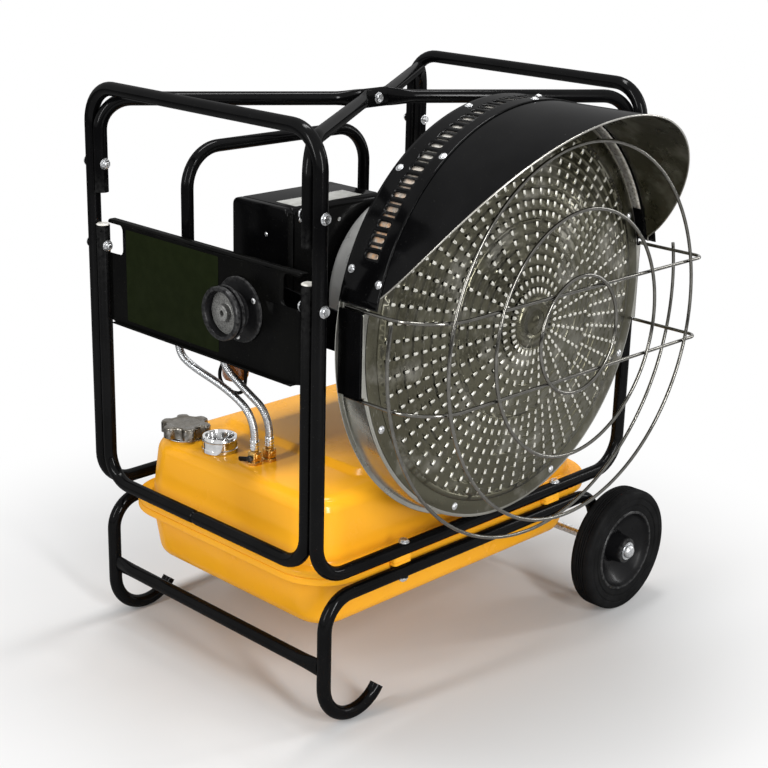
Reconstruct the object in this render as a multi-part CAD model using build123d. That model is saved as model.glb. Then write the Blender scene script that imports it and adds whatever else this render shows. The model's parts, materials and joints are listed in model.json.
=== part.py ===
from build123d import *
import os
from math import sin, cos, tan, radians, hypot

# A mobile oil-fired infrared heater. Millimetres, +Z up, the dish faces -Y and the wheels
# are at +X. The origin lies on the ground under the middle of the cage.

# General clearances
overrun = 1.0
seat_gap = 0.1
run_gap = 0.05
loose_gap = 0.3

# Cage tubing, on centre lines
tube_d = 22.2
cage_half_x = 369.0
cage_half_y = 266.0
cage_top_z = 934.0
cage_bottom_z = 258.0
cage_bend_r = 58.0
tube_bore_d = 19.2
tube_bore_depth = 24.0
tube_sides = 8
round_sides = 24
small_sides = 12
hex_sides = 6
wire_sides = 4

# End hoop beside the two left posts
hoop_top_z = 713.0
hoop_bottom_z = 274.0
hoop_bend_r = 50.0
plug_cap_t = 3.0
plug_stem_length = 18.0

# Top bars, flattened and bolted back to back at the crossing
bar_z = 915.0
bar_leg_end_z = 767.0
bar_bend_r = 50.0
bar_flat_half_length = 24.0
bar_flat_height = 30.0
bar_flat_t = 8.0
bar_flare_length = 46.0

# Base rails with hooked feet, axle and wheels
flange_clamp_t = 16.4
foot_leg_x = -350.0
foot_bend_r = 52.0
hook_r = 64.0
hook_sweep_deg = 145.0
axle_x = 344.0
axle_z = 112.0
axle_d = 16.0
rail_drop_x = 296.0
rail_tail = 24.0
cross_tube_z = 105.0
cross_flat_height = 30.0
cross_flat_t = 12.0
cross_flare_length = 44.0
wheel_r = 112.0
wheel_width = 44.0
tyre_inner_r = 74.0
tyre_shoulder = 7.0
hub_r = 20.0
rim_wall = 3.0
rim_web_t = 6.0
rim_dish_r = 66.0
washer_t = 3.6
washer_r = 15.0
axle_cap_r = 13.0
axle_cap_t = 7.0
axle_end = 4.0

# Bolts
bolt_head_r = 6.8
bolt_head_h = 5.0
screw_head_r = 5.0
screw_head_h = 3.0
leg_bolt_z = 813.0
hoop_bolt_z = 680.0
clamp_bolt_left_x = -181.0
clamp_bolt_right_x = 193.0

# Fuel tank
tank_half_x = 350.0
tank_half_y = 254.5
tank_band_top_z = 246.9
tank_band_bottom_z = 222.5
tank_seam_z = 236.0
tank_band_corner_r = 90.0
tank_band_edge_r = 5.0
tank_top_z = 350.0
tank_bottom_z = 133.0
tank_upper_half_x = 331.0
tank_upper_half_y = 226.0
tank_lower_half_x = 328.0
tank_lower_half_y = 232.0
tank_upper_taper_deg = 7.0
tank_lower_taper_deg = 9.0
tank_corner_r = 70.0
tank_edge_r = 26.0
tank_wall = 3.0
tank_ear_half_length = 20.0
tank_ear_y = 275.0
deck_step_x = -188.0
deck_step_h = 10.0
deck_half_y = 176.0
deck_end_x = 268.0
deck_taper_deg = 45.0
deck_corner_r = 30.0

# Things on the tank
cap_x = -273.0
cap_y = 160.0
cap_top_z = 375.0
cap_lobe_r = 12.0
cap_lobe_count = 6
cap_outer_r = 44.0
cap_skirt_h = 20.0
cap_wall = 2.5
neck_r = 27.0
neck_wall = 2.0
neck_h = 12.0
neck_flange_r = 33.0
neck_depth = 14.0
gauge_x = -273.0
gauge_y = 71.0
gauge_r = 30.0
gauge_top_z = 377.0
gauge_window_r = 21.0
gauge_stem_r = 16.0
gauge_float_r = 14.0
gauge_float_h = 30.0
gauge_rod_r = 1.5
gauge_rod_length = 90.0
supply_x = -271.0
supply_y = -14.0
return_x = -243.0
return_y = -18.0
fitting_base_r = 12.0
fitting_base_h = 5.0
fitting_body = 17.0
fitting_body_h = 18.0
fitting_neck_r = 4.5
fitting_neck_h = 5.0
fitting_pipe_r = 5.0
fitting_pipe_depth = 12.0
cock_length = 26.0
cock_w = 8.0
cock_t = 2.5
cock_hub_r = 5.0
cock_angle_deg = 166.0

# Fuel hoses
hose_d = 13.0
ferrule_r = 7.6
ferrule_h = 18.0

# Side plate, tilt bearing and knob
plate_half_y = 229.0
plate_top_z = 724.5
plate_bottom_z = 557.0
plate_t = 2.0
plate_top_lip = 12.0
plate_bottom_lip = 7.0
plate_bottom_lip_inset = 14.0
plate_slot_w = 38.5
plate_slot_h = 50.0
plate_slot_r = 10.0
plate_slot_z = 696.0
pivot_y = -97.0
pivot_z = 646.0
pivot_r = 10.0
flange_r = 50.0
flange_t = 5.0
flange_hub_r = 24.0
flange_hub_h = 3.5
flange_screw_r = 41.0
knob_gap = 0.5
knob_r = 41.0
knob_length = 33.0
knob_neck_r = 30.0
knob_neck_length = 15.0
knob_ridge_w = 7.0
knob_groove_w = 4.0
knob_groove_depth = 3.0
knob_recess_r = 33.0
knob_recess_depth = 16.0
knob_bore_depth = 11.0
insert_t = 1.5
insert_boss_r = 13.0
insert_boss_h = 9.0
insert_hole_r = 4.5

# Dish, hood and guard, about an axis along Y
dish_z = 614.0
sheet_t = 1.2
pan_rear_y = -266.0
pan_front_y = -312.8
pan_wall_r = 328.0
pan_flange_r = 337.0
pan_ear_depth = 13.0
pan_hole_r = 150.0
pan_ring_inner_r = 298.0
pan_ear_half_z = 63.0
disc_r = 322.0
disc_edge_r = 300.0
disc_apex_y = -360.0
disc_tip_r = 20.0
louvre_sectors = 24
louvre_rings = 5
louvre_first_r = 100.0
louvre_last_r = 272.0
louvre_length = 16.0
louvre_w = 24.0
disc_screw_count = 8
disc_screw_r = 311.0
hood_r = 338.5
band_front_y = -342.0
visor_rear_y = -326.0
visor_side_y = -312.0
visor_reach = 200.0
visor_power_share = 0.72
hood_start_deg = 12.5
visor_curve_steps = 6
hood_slot_count = 33
hood_end_flats = 3
hood_slot_y = -306.5
hood_slot_length = 24.0
hood_slot_w = 8.0
hood_rear_screw_y = -276.0
hood_front_screw_y = -334.0
hood_rear_screw_count = 6
hood_front_screw_count = 5
wire_d = 5.6
wire_x = 327.0
wire_half_z = 67.0
wire_front_y = -439.2
wire_left_corner_r = 85.0
wire_right_corner_r = 16.0
ring_radii = [91.0, 191.0, 291.0]
ring_sides = 32
arc_y = -375.0
arc_start_deg = 21.0

# Head chassis
arm_t = 3.0
arm_front_y = -311.0
arm_bracket_half_z = 64.0
arm_low_z = 611.0
arm_high_z = 671.0
arm_knee_y = -60.0
tray_rear_y = 107.0
tray_front_y = -49.0
tray_bottom_z = 540.0
tray_t = 2.5
tray_lip_h = 22.0
trunnion_flange_r = 24.0
trunnion_flange_t = 5.0
trunnion_end = 18.0
handle_tube_d = 20.0
handle_y = 94.2
handle_left_x = -315.0
handle_right_x = 71.0
handle_top_z = 850.0
handle_bend_r = 62.0

# Burner
drum_r = 160.0
drum_rear_y = -52.0
drum_edge_r = 16.0
blast_r = 45.0
blast_wall = 1.5
blast_front_y = -112.0
blower_left_x = -22.0
blower_w = 70.0
blower_y = 30.0
blower_z = 616.0
blower_r = 72.0
blower_wall = 2.0
fan_r = 60.0
fan_w = 40.0
fan_plate_t = 2.0
fan_blade_count = 12
fan_blade_t = 1.5
fan_blade_depth = 14.0
fan_blade_lean_deg = 35.0
fan_hub_r = 11.0
motor_shaft_r = 5.0
motor_r = 48.0
motor_length = 102.0
motor_foot_w = 60.0
box_left_x = -232.0
box_right_x = -26.0
box_front_y = -46.0
box_rear_y = 84.0
box_top_z = 768.0
box_wall = 1.5
box_corner_r = 12.0
box_seam_w = 14.0
pump_x = -235.0
pump_y = 75.0
pump_block_x = 80.0
pump_block_y = 60.0
pump_block_h = 24.0
bowl_r = 22.0
bowl_bottom_z = 463.0
filter_x = -300.0
filter_y = 143.0
filter_r = 20.0
filter_bottom_z = 548.0
filter_h = 66.0
filter_nub_r = 7.6
filter_nub_h = 8.0
lead_d = 6.0

# Places worked out from the sizes above
hoop_y = cage_half_y - tube_d - seat_gap
base_rail_z = cage_bottom_z - tube_d - flange_clamp_t - 2 * seat_gap
clamp_top_z = cage_bottom_z - tube_d / 2 - seat_gap
clamp_bottom_z = clamp_top_z - flange_clamp_t
hook_z = hook_r + tube_d / 2
plate_x = -cage_half_x
plate_outer_x = plate_x - plate_t / 2
plate_inner_x = plate_x + plate_t / 2
knob_rear_x = plate_outer_x - flange_t - flange_hub_h - knob_gap
knob_front_x = knob_rear_x - knob_length
arm_x = pan_wall_r + arm_t / 2 + seat_gap
blast_hole_r = blast_r / cos(radians(180 / round_sides)) + seat_gap
band_r = hood_r
slot_first_deg = 2 * hood_start_deg
slot_pitch_deg = (180 - 2 * slot_first_deg) / (hood_slot_count - 1)
visor_r = (hood_r - sheet_t) * cos(radians(slot_pitch_deg / 2)) - seat_gap
disc_plane_y = pan_front_y - sheet_t
tray_top_z = tray_bottom_z + tray_t
wheel_inner_y = cage_half_y + tube_d / 2 + washer_t + 2 * seat_gap

os.makedirs("parts", exist_ok=True)


def write(name, shape):
    """Writes one node's solids."""
    export_step(Compound(children=shape.solids()) if len(shape.solids()) > 1 else shape.solids()[0],
                f"parts/{name}.step")


def joined(shapes):
    """Separate solids kept together in one node."""
    solids = []
    for shape in shapes:
        solids.extend(shape.solids())
    return Compound(children=solids)


def bar_along(path, across, sides=tube_sides):
    """A bar swept along a path; its flats are as far apart as the real tube is thick."""
    section = RegularPolygon(across / 2, sides, major_radius=False, rotation=180 / sides)
    return sweep(Plane(origin=path @ 0, z_dir=path % 0) * section, path=path)


def rod(start, end, radius):
    """A round rod between two points, also used as a drill."""
    line = Line(start, end)
    return sweep(Plane(origin=line @ 0, z_dir=line % 0) * Circle(radius), path=line)


def prism(start, end, radius, sides=small_sides):
    """A small round piece drawn with even flats between two points."""
    line = Line(start, end)
    section = RegularPolygon(radius, sides, major_radius=False)
    return extrude(Plane(origin=line @ 0, z_dir=line % 0) * section, amount=line.length)


def box_between(x0, x1, y0, y1, z0, z1):
    """A block between two corners."""
    return Pos((x0 + x1) / 2, (y0 + y1) / 2, (z0 + z1) / 2) * Box(abs(x1 - x0), abs(y1 - y0), abs(z1 - z0))


def turned(points, axis_origin, axis_dir):
    """A body of revolution from (radius, distance) points about an axis along X, Y or Z."""
    side = Vector(0, 0, 1) if axis_dir != (0, 0, 1) else Vector(1, 0, 0)
    origin = Vector(*axis_origin)
    along = Vector(*axis_dir)
    corners = [origin + side * r + along * d for r, d in points]
    face = make_face(Polyline(*corners, close=True))
    return revolve(face, Axis(axis_origin, axis_dir), 360)


def hex_head(position, outward, radius, height):
    """A bolt head, nut or screw head that seats on a surface."""
    p = Vector(*position)
    return prism(tuple(p), tuple(p + Vector(*outward) * height), radius, hex_sides)


def bolt_and_nut(position, direction, length):
    """The head and the nut of a bolt whose shank runs inside the tubes that it joins."""
    d = Vector(*direction)
    p = Vector(*position)
    return [hex_head(tuple(p), tuple(-d), bolt_head_r, bolt_head_h),
            hex_head(tuple(p + d * length), direction, bolt_head_r, bolt_head_h)]


def on_dish(radius, y, deg):
    """A point about the dish axis at an angle from +X towards +Z."""
    return (radius * cos(radians(deg)), y, dish_z + radius * sin(radians(deg)))


# Bolt places, each at the outer face of the first tube, with the direction that the bolt takes
leg_bolt_length = 2 * tube_d + seat_gap
leg_bolts = [((sx * cage_half_x, sy * (cage_half_y + tube_d / 2), leg_bolt_z), (0, -sy, 0))
             for sx in (-1, 1) for sy in (-1, 1)]
hoop_bolts = [((-cage_half_x, sy * (cage_half_y + tube_d / 2), hoop_bolt_z), (0, -sy, 0))
              for sy in (-1, 1)]
clamp_length = 2 * tube_d + flange_clamp_t + 2 * seat_gap
clamp_bolts = [((bx, sy * cage_half_y, cage_bottom_z + tube_d / 2), (0, 0, -1))
               for bx in (clamp_bolt_left_x, clamp_bolt_right_x) for sy in (-1, 1)]


def cage_half(side):
    """One bent cage tube: top rail, post, bottom rail, post and top rail."""
    y = side * cage_half_y
    path = FilletPolyline((-cage_half_x, side * seat_gap / 2, cage_top_z), (-cage_half_x, y, cage_top_z),
                          (-cage_half_x, y, cage_bottom_z), (cage_half_x, y, cage_bottom_z),
                          (cage_half_x, y, cage_top_z), (cage_half_x, side * seat_gap / 2, cage_top_z),
                          radius=cage_bend_r)
    return bar_along(path, tube_d)


def end_hoop():
    """The U of tube between the two left posts, open at its upper ends."""
    path = FilletPolyline((-cage_half_x, -hoop_y, hoop_top_z), (-cage_half_x, -hoop_y, hoop_bottom_z),
                          (-cage_half_x, hoop_y, hoop_bottom_z), (-cage_half_x, hoop_y, hoop_top_z),
                          radius=hoop_bend_r)
    tube = bar_along(path, tube_d)
    for sy in (-1, 1):
        tube -= prism((-cage_half_x, sy * hoop_y, hoop_top_z - tube_bore_depth),
                      (-cage_half_x, sy * hoop_y, hoop_top_z + overrun), tube_bore_d / 2)
    return tube


def hoop_plugs():
    """White caps pushed into the open ends of the hoop."""
    plugs = []
    for sy in (-1, 1):
        y = sy * hoop_y
        cap = prism((-cage_half_x, y, hoop_top_z), (-cage_half_x, y, hoop_top_z + plug_cap_t), tube_d / 2 - loose_gap)
        cap = chamfer(cap.faces().sort_by(Axis.Z)[-1].edges(), plug_cap_t / 2)
        stem = prism((-cage_half_x, y, hoop_top_z - plug_stem_length), (-cage_half_x, y, hoop_top_z),
                     tube_bore_d / 2 - seat_gap)
        plugs.append(cap + stem)
    return joined(plugs)


def flattened(side_x, z_dir, centre, thickness, height):
    """The section of a tube's flattened end: the same flats, pressed thin."""
    section = RegularPolygon(1 / 2, tube_sides, major_radius=False, rotation=180 / tube_sides)
    pressed = scale(section, by=(thickness, height, 1))
    return Plane(origin=centre, x_dir=side_x, z_dir=z_dir) * pressed


def top_bar(side):
    """A V-shaped bar with two legs, flattened at its middle where it is bolted."""
    plate_y = side * (seat_gap / 2 + bar_flat_t / 2)
    corner = Vector(-cage_half_x, side * hoop_y, bar_z)
    flat_end = Vector(-bar_flat_half_length, plate_y, bar_z)
    heading = (flat_end - corner).normalized()
    tube_end = flat_end - heading * bar_flare_length
    path = FilletPolyline((-cage_half_x, side * hoop_y, bar_leg_end_z), tuple(corner), tuple(tube_end),
                          radius=bar_bend_r)
    tube = bar_along(path, tube_d)
    across = Vector(-heading.Y, heading.X, 0)
    round_end = flattened(across, heading, tube_end, tube_d, tube_d)
    flat_section = flattened((0, 1, 0), (1, 0, 0), flat_end, bar_flat_t, bar_flat_height)
    flare = loft([round_end.face(), flat_section.face()], ruled=True)
    half_flat = extrude(flat_section, amount=bar_flat_half_length)
    half = tube + flare + half_flat
    return half + mirror(half, about=Plane.YZ)


def cage_bolts():
    """Bolts through posts and legs, through posts and hoop, and through the crossing of the bars."""
    pieces = []
    for place, way in leg_bolts + hoop_bolts:
        pieces += bolt_and_nut(place, way, leg_bolt_length)
    reach = bar_flat_t + seat_gap / 2
    return joined(pieces + bolt_and_nut((0, -reach, bar_z), (0, 1, 0), 2 * reach))


def base_rail(side):
    """A base rail: tail down to the axle, level run under the tank flange, leg and hooked foot."""
    y = side * cage_half_y
    drop = Vector(axle_x - rail_drop_x, 0, axle_z - base_rail_z).normalized()
    tail = Vector(axle_x, y, axle_z) + drop * rail_tail
    run = FilletPolyline(tuple(tail), (rail_drop_x, y, base_rail_z), (foot_leg_x, y, base_rail_z),
                         (foot_leg_x, y, hook_z), radius=foot_bend_r)
    centre_x = foot_leg_x + hook_r
    half_turn = radians(180 + hook_sweep_deg / 2)
    full_turn = radians(180 + hook_sweep_deg)
    hook_mid = (centre_x + hook_r * cos(half_turn), y, hook_z + hook_r * sin(half_turn))
    hook_end = (centre_x + hook_r * cos(full_turn), y, hook_z + hook_r * sin(full_turn))
    hook = ThreePointArc((foot_leg_x, y, hook_z), hook_mid, hook_end)
    rail = bar_along(Wire(run.edges() + hook.edges()), tube_d)
    inward = Vector(sin(full_turn), 0, -cos(full_turn))
    end = Vector(*hook_end)
    rail -= prism(tuple(end - inward * overrun), tuple(end + inward * tube_bore_depth), tube_bore_d / 2)
    return rail - rod((axle_x, y - tube_d, axle_z), (axle_x, y + tube_d, axle_z), axle_d / 2 + run_gap)


def base_cross_tube():
    """The cross tube between the feet, flattened at its ends against the legs."""
    end_y = cage_half_y - tube_d / 2 - seat_gap
    straight = end_y - cross_flare_length
    path = Line((foot_leg_x, -straight, cross_tube_z), (foot_leg_x, straight, cross_tube_z))
    tube = bar_along(path, tube_d)
    for sy in (-1, 1):
        round_end = flattened((1, 0, 0), (0, sy, 0), (foot_leg_x, sy * straight, cross_tube_z), tube_d, tube_d)
        flat_end = flattened((1, 0, 0), (0, sy, 0), (foot_leg_x, sy * end_y, cross_tube_z), cross_flat_t,
                             cross_flat_height)
        tube += loft([round_end.face(), flat_end.face()], ruled=True)
    return tube


def clamp_bolt_set():
    """Bolts that clamp the tank flange between the cage and the base rails."""
    pieces = []
    for place, way in clamp_bolts:
        pieces += bolt_and_nut(place, way, clamp_length)
    return joined(pieces)


axle_half = wheel_inner_y + wheel_width + axle_end + washer_t


def axle():
    """The plain axle through both base rails and both wheels."""
    return rod((axle_x, -axle_half, axle_z), (axle_x, axle_half, axle_z), axle_d / 2)


def axle_washers():
    """Washers between each rail and its wheel."""
    washers = []
    for sy in (-1, 1):
        start = sy * (cage_half_y + tube_d / 2 + seat_gap)
        end = start + sy * washer_t
        ring = prism((axle_x, start, axle_z), (axle_x, end, axle_z), washer_r)
        washers.append(ring - prism((axle_x, start - sy * overrun, axle_z), (axle_x, end + sy * overrun, axle_z),
                                    axle_d / 2 + run_gap))
    return joined(washers)


def axle_caps():
    """Bright domed caps pushed on the ends of the axle."""
    caps = []
    for sy in (-1, 1):
        start = sy * (wheel_inner_y + wheel_width + seat_gap)
        end = sy * (axle_half + axle_cap_t - washer_t)
        cap = prism((axle_x, start, axle_z), (axle_x, end, axle_z), axle_cap_r)
        rim_face = cap.faces().sort_by(Axis.Y)[-1 if sy > 0 else 0]
        cap = chamfer(rim_face.edges(), washer_t)
        cap += prism((axle_x, start, axle_z), (axle_x, start + sy * washer_t / 2, axle_z), axle_cap_r + washer_t)
        caps.append(cap - prism((axle_x, start - sy * overrun, axle_z), (axle_x, sy * (axle_half + run_gap), axle_z),
                                axle_d / 2 + run_gap))
    return joined(caps)


def tyre(side):
    """A solid rubber tyre with bevelled shoulders."""
    y0 = wheel_inner_y
    y1 = y0 + wheel_width
    land = wheel_r - tyre_shoulder
    points = [(tyre_inner_r, y0 + rim_wall), (land, y0), (wheel_r, y0 + tyre_shoulder),
              (wheel_r, y1 - tyre_shoulder), (land, y1), (tyre_inner_r, y1 - rim_wall)]
    return turned([(r, side * d) for r, d in points], (axle_x, 0, axle_z), (0, 1, 0))


def rim(side):
    """A rim with a flat inner side, a dished outer side, a hub and a bore for the axle."""
    y0 = wheel_inner_y
    y1 = y0 + wheel_width
    seat = tyre_inner_r - run_gap
    bore = axle_d / 2 + run_gap
    web = y0 + rim_wall + rim_web_t
    points = [(bore, y0), (hub_r, y0), (seat, y0 + rim_wall), (seat, y1 - rim_wall), (rim_dish_r, y1 - rim_wall),
              (hub_r + rim_web_t, web), (hub_r, y1), (bore, y1)]
    return turned([(r, side * d) for r, d in points], (axle_x, 0, axle_z), (0, 1, 0))


def tank_outline(half_x, half_y, corner_r, z):
    """A rounded rectangle at one height."""
    return Pos(0, 0, z) * RectangleRounded(2 * half_x, 2 * half_y, corner_r)


def tank_ears(z0, z1):
    """Clamp ears that reach out between the rails at the four clamp bolts."""
    ears = []
    for (bx, by, _), _ in clamp_bolts:
        sy = 1 if by > 0 else -1
        ears.append(box_between(bx - tank_ear_half_length, bx + tank_ear_half_length,
                                sy * (tank_half_y - tank_band_edge_r - tank_wall), sy * tank_ear_y, z0, z1))
    return ears


def tank_body(z_base, z_end, half_x, half_y, taper_deg, corner_r, edge_r):
    """A drawn half shell's outer or inner form: a tapered block with its far edge cut back."""
    height = z_end - z_base
    block = extrude(tank_outline(half_x, half_y, corner_r, z_base), amount=abs(height),
                    dir=(0, 0, 1 if height > 0 else -1), taper=taper_deg)
    far = block.faces().sort_by(Axis.Z)[-1 if height > 0 else 0]
    return chamfer(far.edges(), edge_r) if edge_r else block


def tank_upper():
    """The upper half shell with its stepped deck, flange and openings."""
    body = tank_body(tank_seam_z, tank_top_z, tank_upper_half_x, tank_upper_half_y, tank_upper_taper_deg,
                     tank_corner_r, tank_edge_r)
    inner = tank_body(tank_seam_z, tank_top_z - tank_wall, tank_upper_half_x - tank_wall,
                      tank_upper_half_y - tank_wall, tank_upper_taper_deg, tank_corner_r - tank_wall, 0)
    inner = chamfer(inner.faces().sort_by(Axis.Z)[-1].edges(), tank_edge_r - tank_wall)
    deck_length = deck_end_x - deck_step_x
    deck = extrude(Pos((deck_end_x + deck_step_x) / 2, 0, tank_top_z - tank_wall)
                   * RectangleRounded(deck_length, 2 * deck_half_y, deck_corner_r),
                   amount=deck_step_h + tank_wall, taper=deck_taper_deg)
    band = extrude(tank_outline(tank_half_x, tank_half_y, tank_band_corner_r, tank_seam_z),
                   amount=tank_band_top_z - tank_seam_z)
    band = chamfer(band.faces().sort_by(Axis.Z)[-1].edges(), tank_band_edge_r)
    shell = body + deck + band
    for ear in tank_ears(tank_seam_z, clamp_top_z):
        shell += ear
    shell -= inner
    holes = [(cap_x, cap_y, neck_r, small_sides), (gauge_x, gauge_y, gauge_stem_r, small_sides),
             (supply_x, supply_y, fitting_pipe_r, tube_sides), (return_x, return_y, fitting_pipe_r, tube_sides)]
    for x, y, radius, sides in holes:
        shell -= prism((x, y, tank_top_z - neck_depth - overrun), (x, y, tank_top_z + overrun), radius + seat_gap, sides)
    return shell


def tank_lower():
    """The lower half shell with its flange band."""
    body = tank_body(tank_seam_z, tank_bottom_z, tank_lower_half_x, tank_lower_half_y, tank_lower_taper_deg,
                     tank_corner_r, tank_edge_r)
    inner = tank_body(tank_seam_z, tank_bottom_z + tank_wall, tank_lower_half_x - tank_wall,
                      tank_lower_half_y - tank_wall, tank_lower_taper_deg, tank_corner_r - tank_wall, 0)
    inner = chamfer(inner.faces().sort_by(Axis.Z)[0].edges(), tank_edge_r - tank_wall)
    band = extrude(tank_outline(tank_half_x, tank_half_y, tank_band_corner_r, tank_seam_z),
                   amount=tank_seam_z - tank_band_bottom_z, dir=(0, 0, -1))
    band = chamfer(band.faces().sort_by(Axis.Z)[0].edges(), tank_band_edge_r)
    shell = body + band
    for ear in tank_ears(clamp_bottom_z, tank_seam_z):
        shell += ear
    return shell - inner


def filler_neck():
    """The neck that the cap screws on, set in the tank's deck."""
    z = tank_top_z
    neck = prism((cap_x, cap_y, z - neck_depth), (cap_x, cap_y, z + neck_h), neck_r)
    neck += prism((cap_x, cap_y, z), (cap_x, cap_y, z + neck_wall), neck_flange_r)
    return neck - prism((cap_x, cap_y, z - neck_depth - overrun), (cap_x, cap_y, z + neck_h + overrun),
                        neck_r - neck_wall)


def fuel_cap():
    """A star-shaped screw cap with six square-topped lobes, open below."""
    outline = RegularPolygon(cap_outer_r - cap_lobe_r, 2 * cap_lobe_count, major_radius=False)
    for i in range(cap_lobe_count):
        outline += Rot(0, 0, i * 360 / cap_lobe_count) * Pos(cap_outer_r / 2, 0, 0) \
            * Trapezoid(cap_outer_r - cap_lobe_r / 2, 2 * cap_lobe_r, 90)
    cap = Pos(cap_x, cap_y, cap_top_z - cap_skirt_h) * extrude(outline, amount=cap_skirt_h)
    bore_top = tank_top_z + neck_h + seat_gap
    return cap - rod((cap_x, cap_y, cap_top_z - cap_skirt_h - overrun), (cap_x, cap_y, bore_top),
                     neck_r / cos(radians(180 / small_sides)) + run_gap)


def fuel_gauge():
    """The bright gauge ring with a sunk window seat, its stem and rod."""
    z = tank_top_z
    body = prism((gauge_x, gauge_y, z), (gauge_x, gauge_y, gauge_top_z), gauge_r, round_sides)
    body = chamfer(body.faces().sort_by(Axis.Z)[-1].edges(), cap_wall)
    body -= prism((gauge_x, gauge_y, z + neck_wall + cap_wall), (gauge_x, gauge_y, gauge_top_z + overrun),
                  gauge_window_r, round_sides)
    body += prism((gauge_x, gauge_y, z - neck_depth), (gauge_x, gauge_y, z), gauge_stem_r)
    return body + prism((gauge_x, gauge_y, z - neck_depth - gauge_rod_length), (gauge_x, gauge_y, z - neck_depth),
                        gauge_rod_r, hex_sides)


def gauge_float():
    """The float on the gauge rod."""
    top = tank_top_z - neck_depth - gauge_rod_length / 2
    body = prism((gauge_x, gauge_y, top - gauge_float_h), (gauge_x, gauge_y, top), gauge_float_r)
    return body - prism((gauge_x, gauge_y, top - gauge_float_h - overrun), (gauge_x, gauge_y, top + overrun),
                        gauge_rod_r + seat_gap, hex_sides)


fitting_top_z = tank_top_z + fitting_base_h + fitting_body_h + fitting_neck_h


def fitting(x, y):
    """A brass hose fitting: round base, square valve body, neck, and pipe into the tank."""
    z = tank_top_z
    body = prism((x, y, z), (x, y, z + fitting_base_h), fitting_base_r)
    block = Pos(x, y, z + fitting_base_h + fitting_body_h / 2) * Box(fitting_body, fitting_body, fitting_body_h)
    body += chamfer(block.edges().filter_by(Axis.Z), fitting_body / 8)
    body += prism((x, y, z + fitting_base_h + fitting_body_h), (x, y, fitting_top_z), fitting_neck_r, tube_sides)
    return body + prism((x, y, z - fitting_pipe_depth), (x, y, z), fitting_pipe_r, tube_sides)


cock_z = tank_top_z + fitting_base_h + fitting_body_h / 3
cock_face_x = supply_x - fitting_body / 2


def fuel_cock_lever():
    """The small black lever on the left face of the supply fitting."""
    hub = rod((cock_face_x - run_gap, supply_y, cock_z), (cock_face_x - run_gap - cock_hub_r, supply_y, cock_z),
              cock_hub_r)
    start = cock_face_x - run_gap - cock_hub_r + cock_t
    blade = box_between(start, start - cock_t, supply_y, supply_y + cock_length, cock_z - cock_w / 2,
                        cock_z + cock_w / 2)
    blade = chamfer(blade.edges().filter_by(Axis.X).sort_by(Axis.Y)[-2:], cock_w / 3)
    return (hub + blade).rotate(Axis((0, supply_y, cock_z), (1, 0, 0)), 180 - cock_angle_deg)


def ferrule(x, y):
    """A crimped sleeve at the lower end of a hose."""
    sleeve = prism((x, y, fitting_top_z - fitting_neck_h + seat_gap), (x, y, ferrule_top_z), ferrule_r)
    return sleeve - prism((x, y, fitting_top_z - fitting_neck_h), (x, y, fitting_top_z + seat_gap),
                          fitting_neck_r + seat_gap, tube_sides)


ferrule_top_z = fitting_top_z + ferrule_h - fitting_neck_h

# Hose routes from their ferrules on the tank to the filter and the pump
supply_route = [(supply_x, supply_y, ferrule_top_z), (supply_x, supply_y, 430.0), (-281.0, 40.0, 466.0),
                (-296.0, 122.0, 492.0), (filter_x, filter_y, 512.0), (filter_x, filter_y, filter_bottom_z - filter_nub_h)]
return_route = [(return_x, return_y, ferrule_top_z), (return_x, return_y, 429.0), (-254.0, 34.0, 464.0),
                (-266.0, 70.0, 496.0), (-266.0, 70.0, tray_bottom_z - pump_block_h)]


def cord(name, route, diameter, sides=tube_sides):
    """A hose or lead: straight runs joined by arcs as large as the runs allow."""
    points = [Vector(*p) for p in route]
    radii = []
    for before, here, after in zip(points, points[1:], points[2:]):
        turn = radians((here - before).get_angle(after - here))
        run = min((here - before).length, (after - here).length)
        radii.append(9 * run / 20 / tan(turn / 2))
    path = FilletPolyline(*route, radius=radii)
    tube = bar_along(path, diameter, sides)
    expected = path.length * RegularPolygon(diameter / 2, sides, major_radius=False).area
    print(name, "radii", [round(r, 1) for r in radii], "volume share", round(tube.volume / expected, 4))
    return tube


def side_plate():
    """The pressed side plate: a lip folded in at the top, one folded out below, two nut slots."""
    plate = box_between(plate_outer_x, plate_inner_x, -plate_half_y, plate_half_y, plate_bottom_z, plate_top_z)
    plate += box_between(plate_outer_x, plate_inner_x + plate_top_lip, -plate_half_y, plate_half_y,
                         plate_top_z - plate_t, plate_top_z)
    plate += box_between(plate_outer_x - plate_bottom_lip, plate_inner_x, -plate_half_y + plate_bottom_lip_inset,
                         plate_half_y - plate_bottom_lip_inset, plate_bottom_z, plate_bottom_z + plate_t)
    for sy in (-1, 1):
        slot = Plane(origin=(plate_x, sy * plate_half_y, plate_slot_z), x_dir=(0, 1, 0),
                     z_dir=(1, 0, 0)) * RectangleRounded(2 * plate_slot_w, plate_slot_h, plate_slot_r)
        plate -= extrude(slot, amount=plate_t, both=True)
    return plate - rod((plate_outer_x - overrun, pivot_y, pivot_z), (plate_inner_x + overrun, pivot_y, pivot_z),
                       pivot_r + loose_gap)


def pivot_flange():
    """The round bearing flange on the side plate, with a bore for the trunnion."""
    points = [(pivot_r + run_gap, seat_gap), (flange_r, seat_gap), (flange_r, flange_t), (flange_hub_r, flange_t),
              (flange_hub_r, flange_t + flange_hub_h), (pivot_r + run_gap, flange_t + flange_hub_h)]
    return turned([(r, -d) for r, d in points], (plate_outer_x, pivot_y, pivot_z), (1, 0, 0))


def flange_screws():
    """Three screws whose heads hold the bearing flange on the side plate."""
    screws = []
    for i in range(3):
        turn = radians(i * 120 - 90)
        place = (plate_outer_x - flange_t, pivot_y + flange_screw_r * cos(turn),
                 pivot_z + flange_screw_r * sin(turn))
        screws.append(hex_head(place, (-1, 0, 0), screw_head_r, screw_head_h))
    return screws


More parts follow.
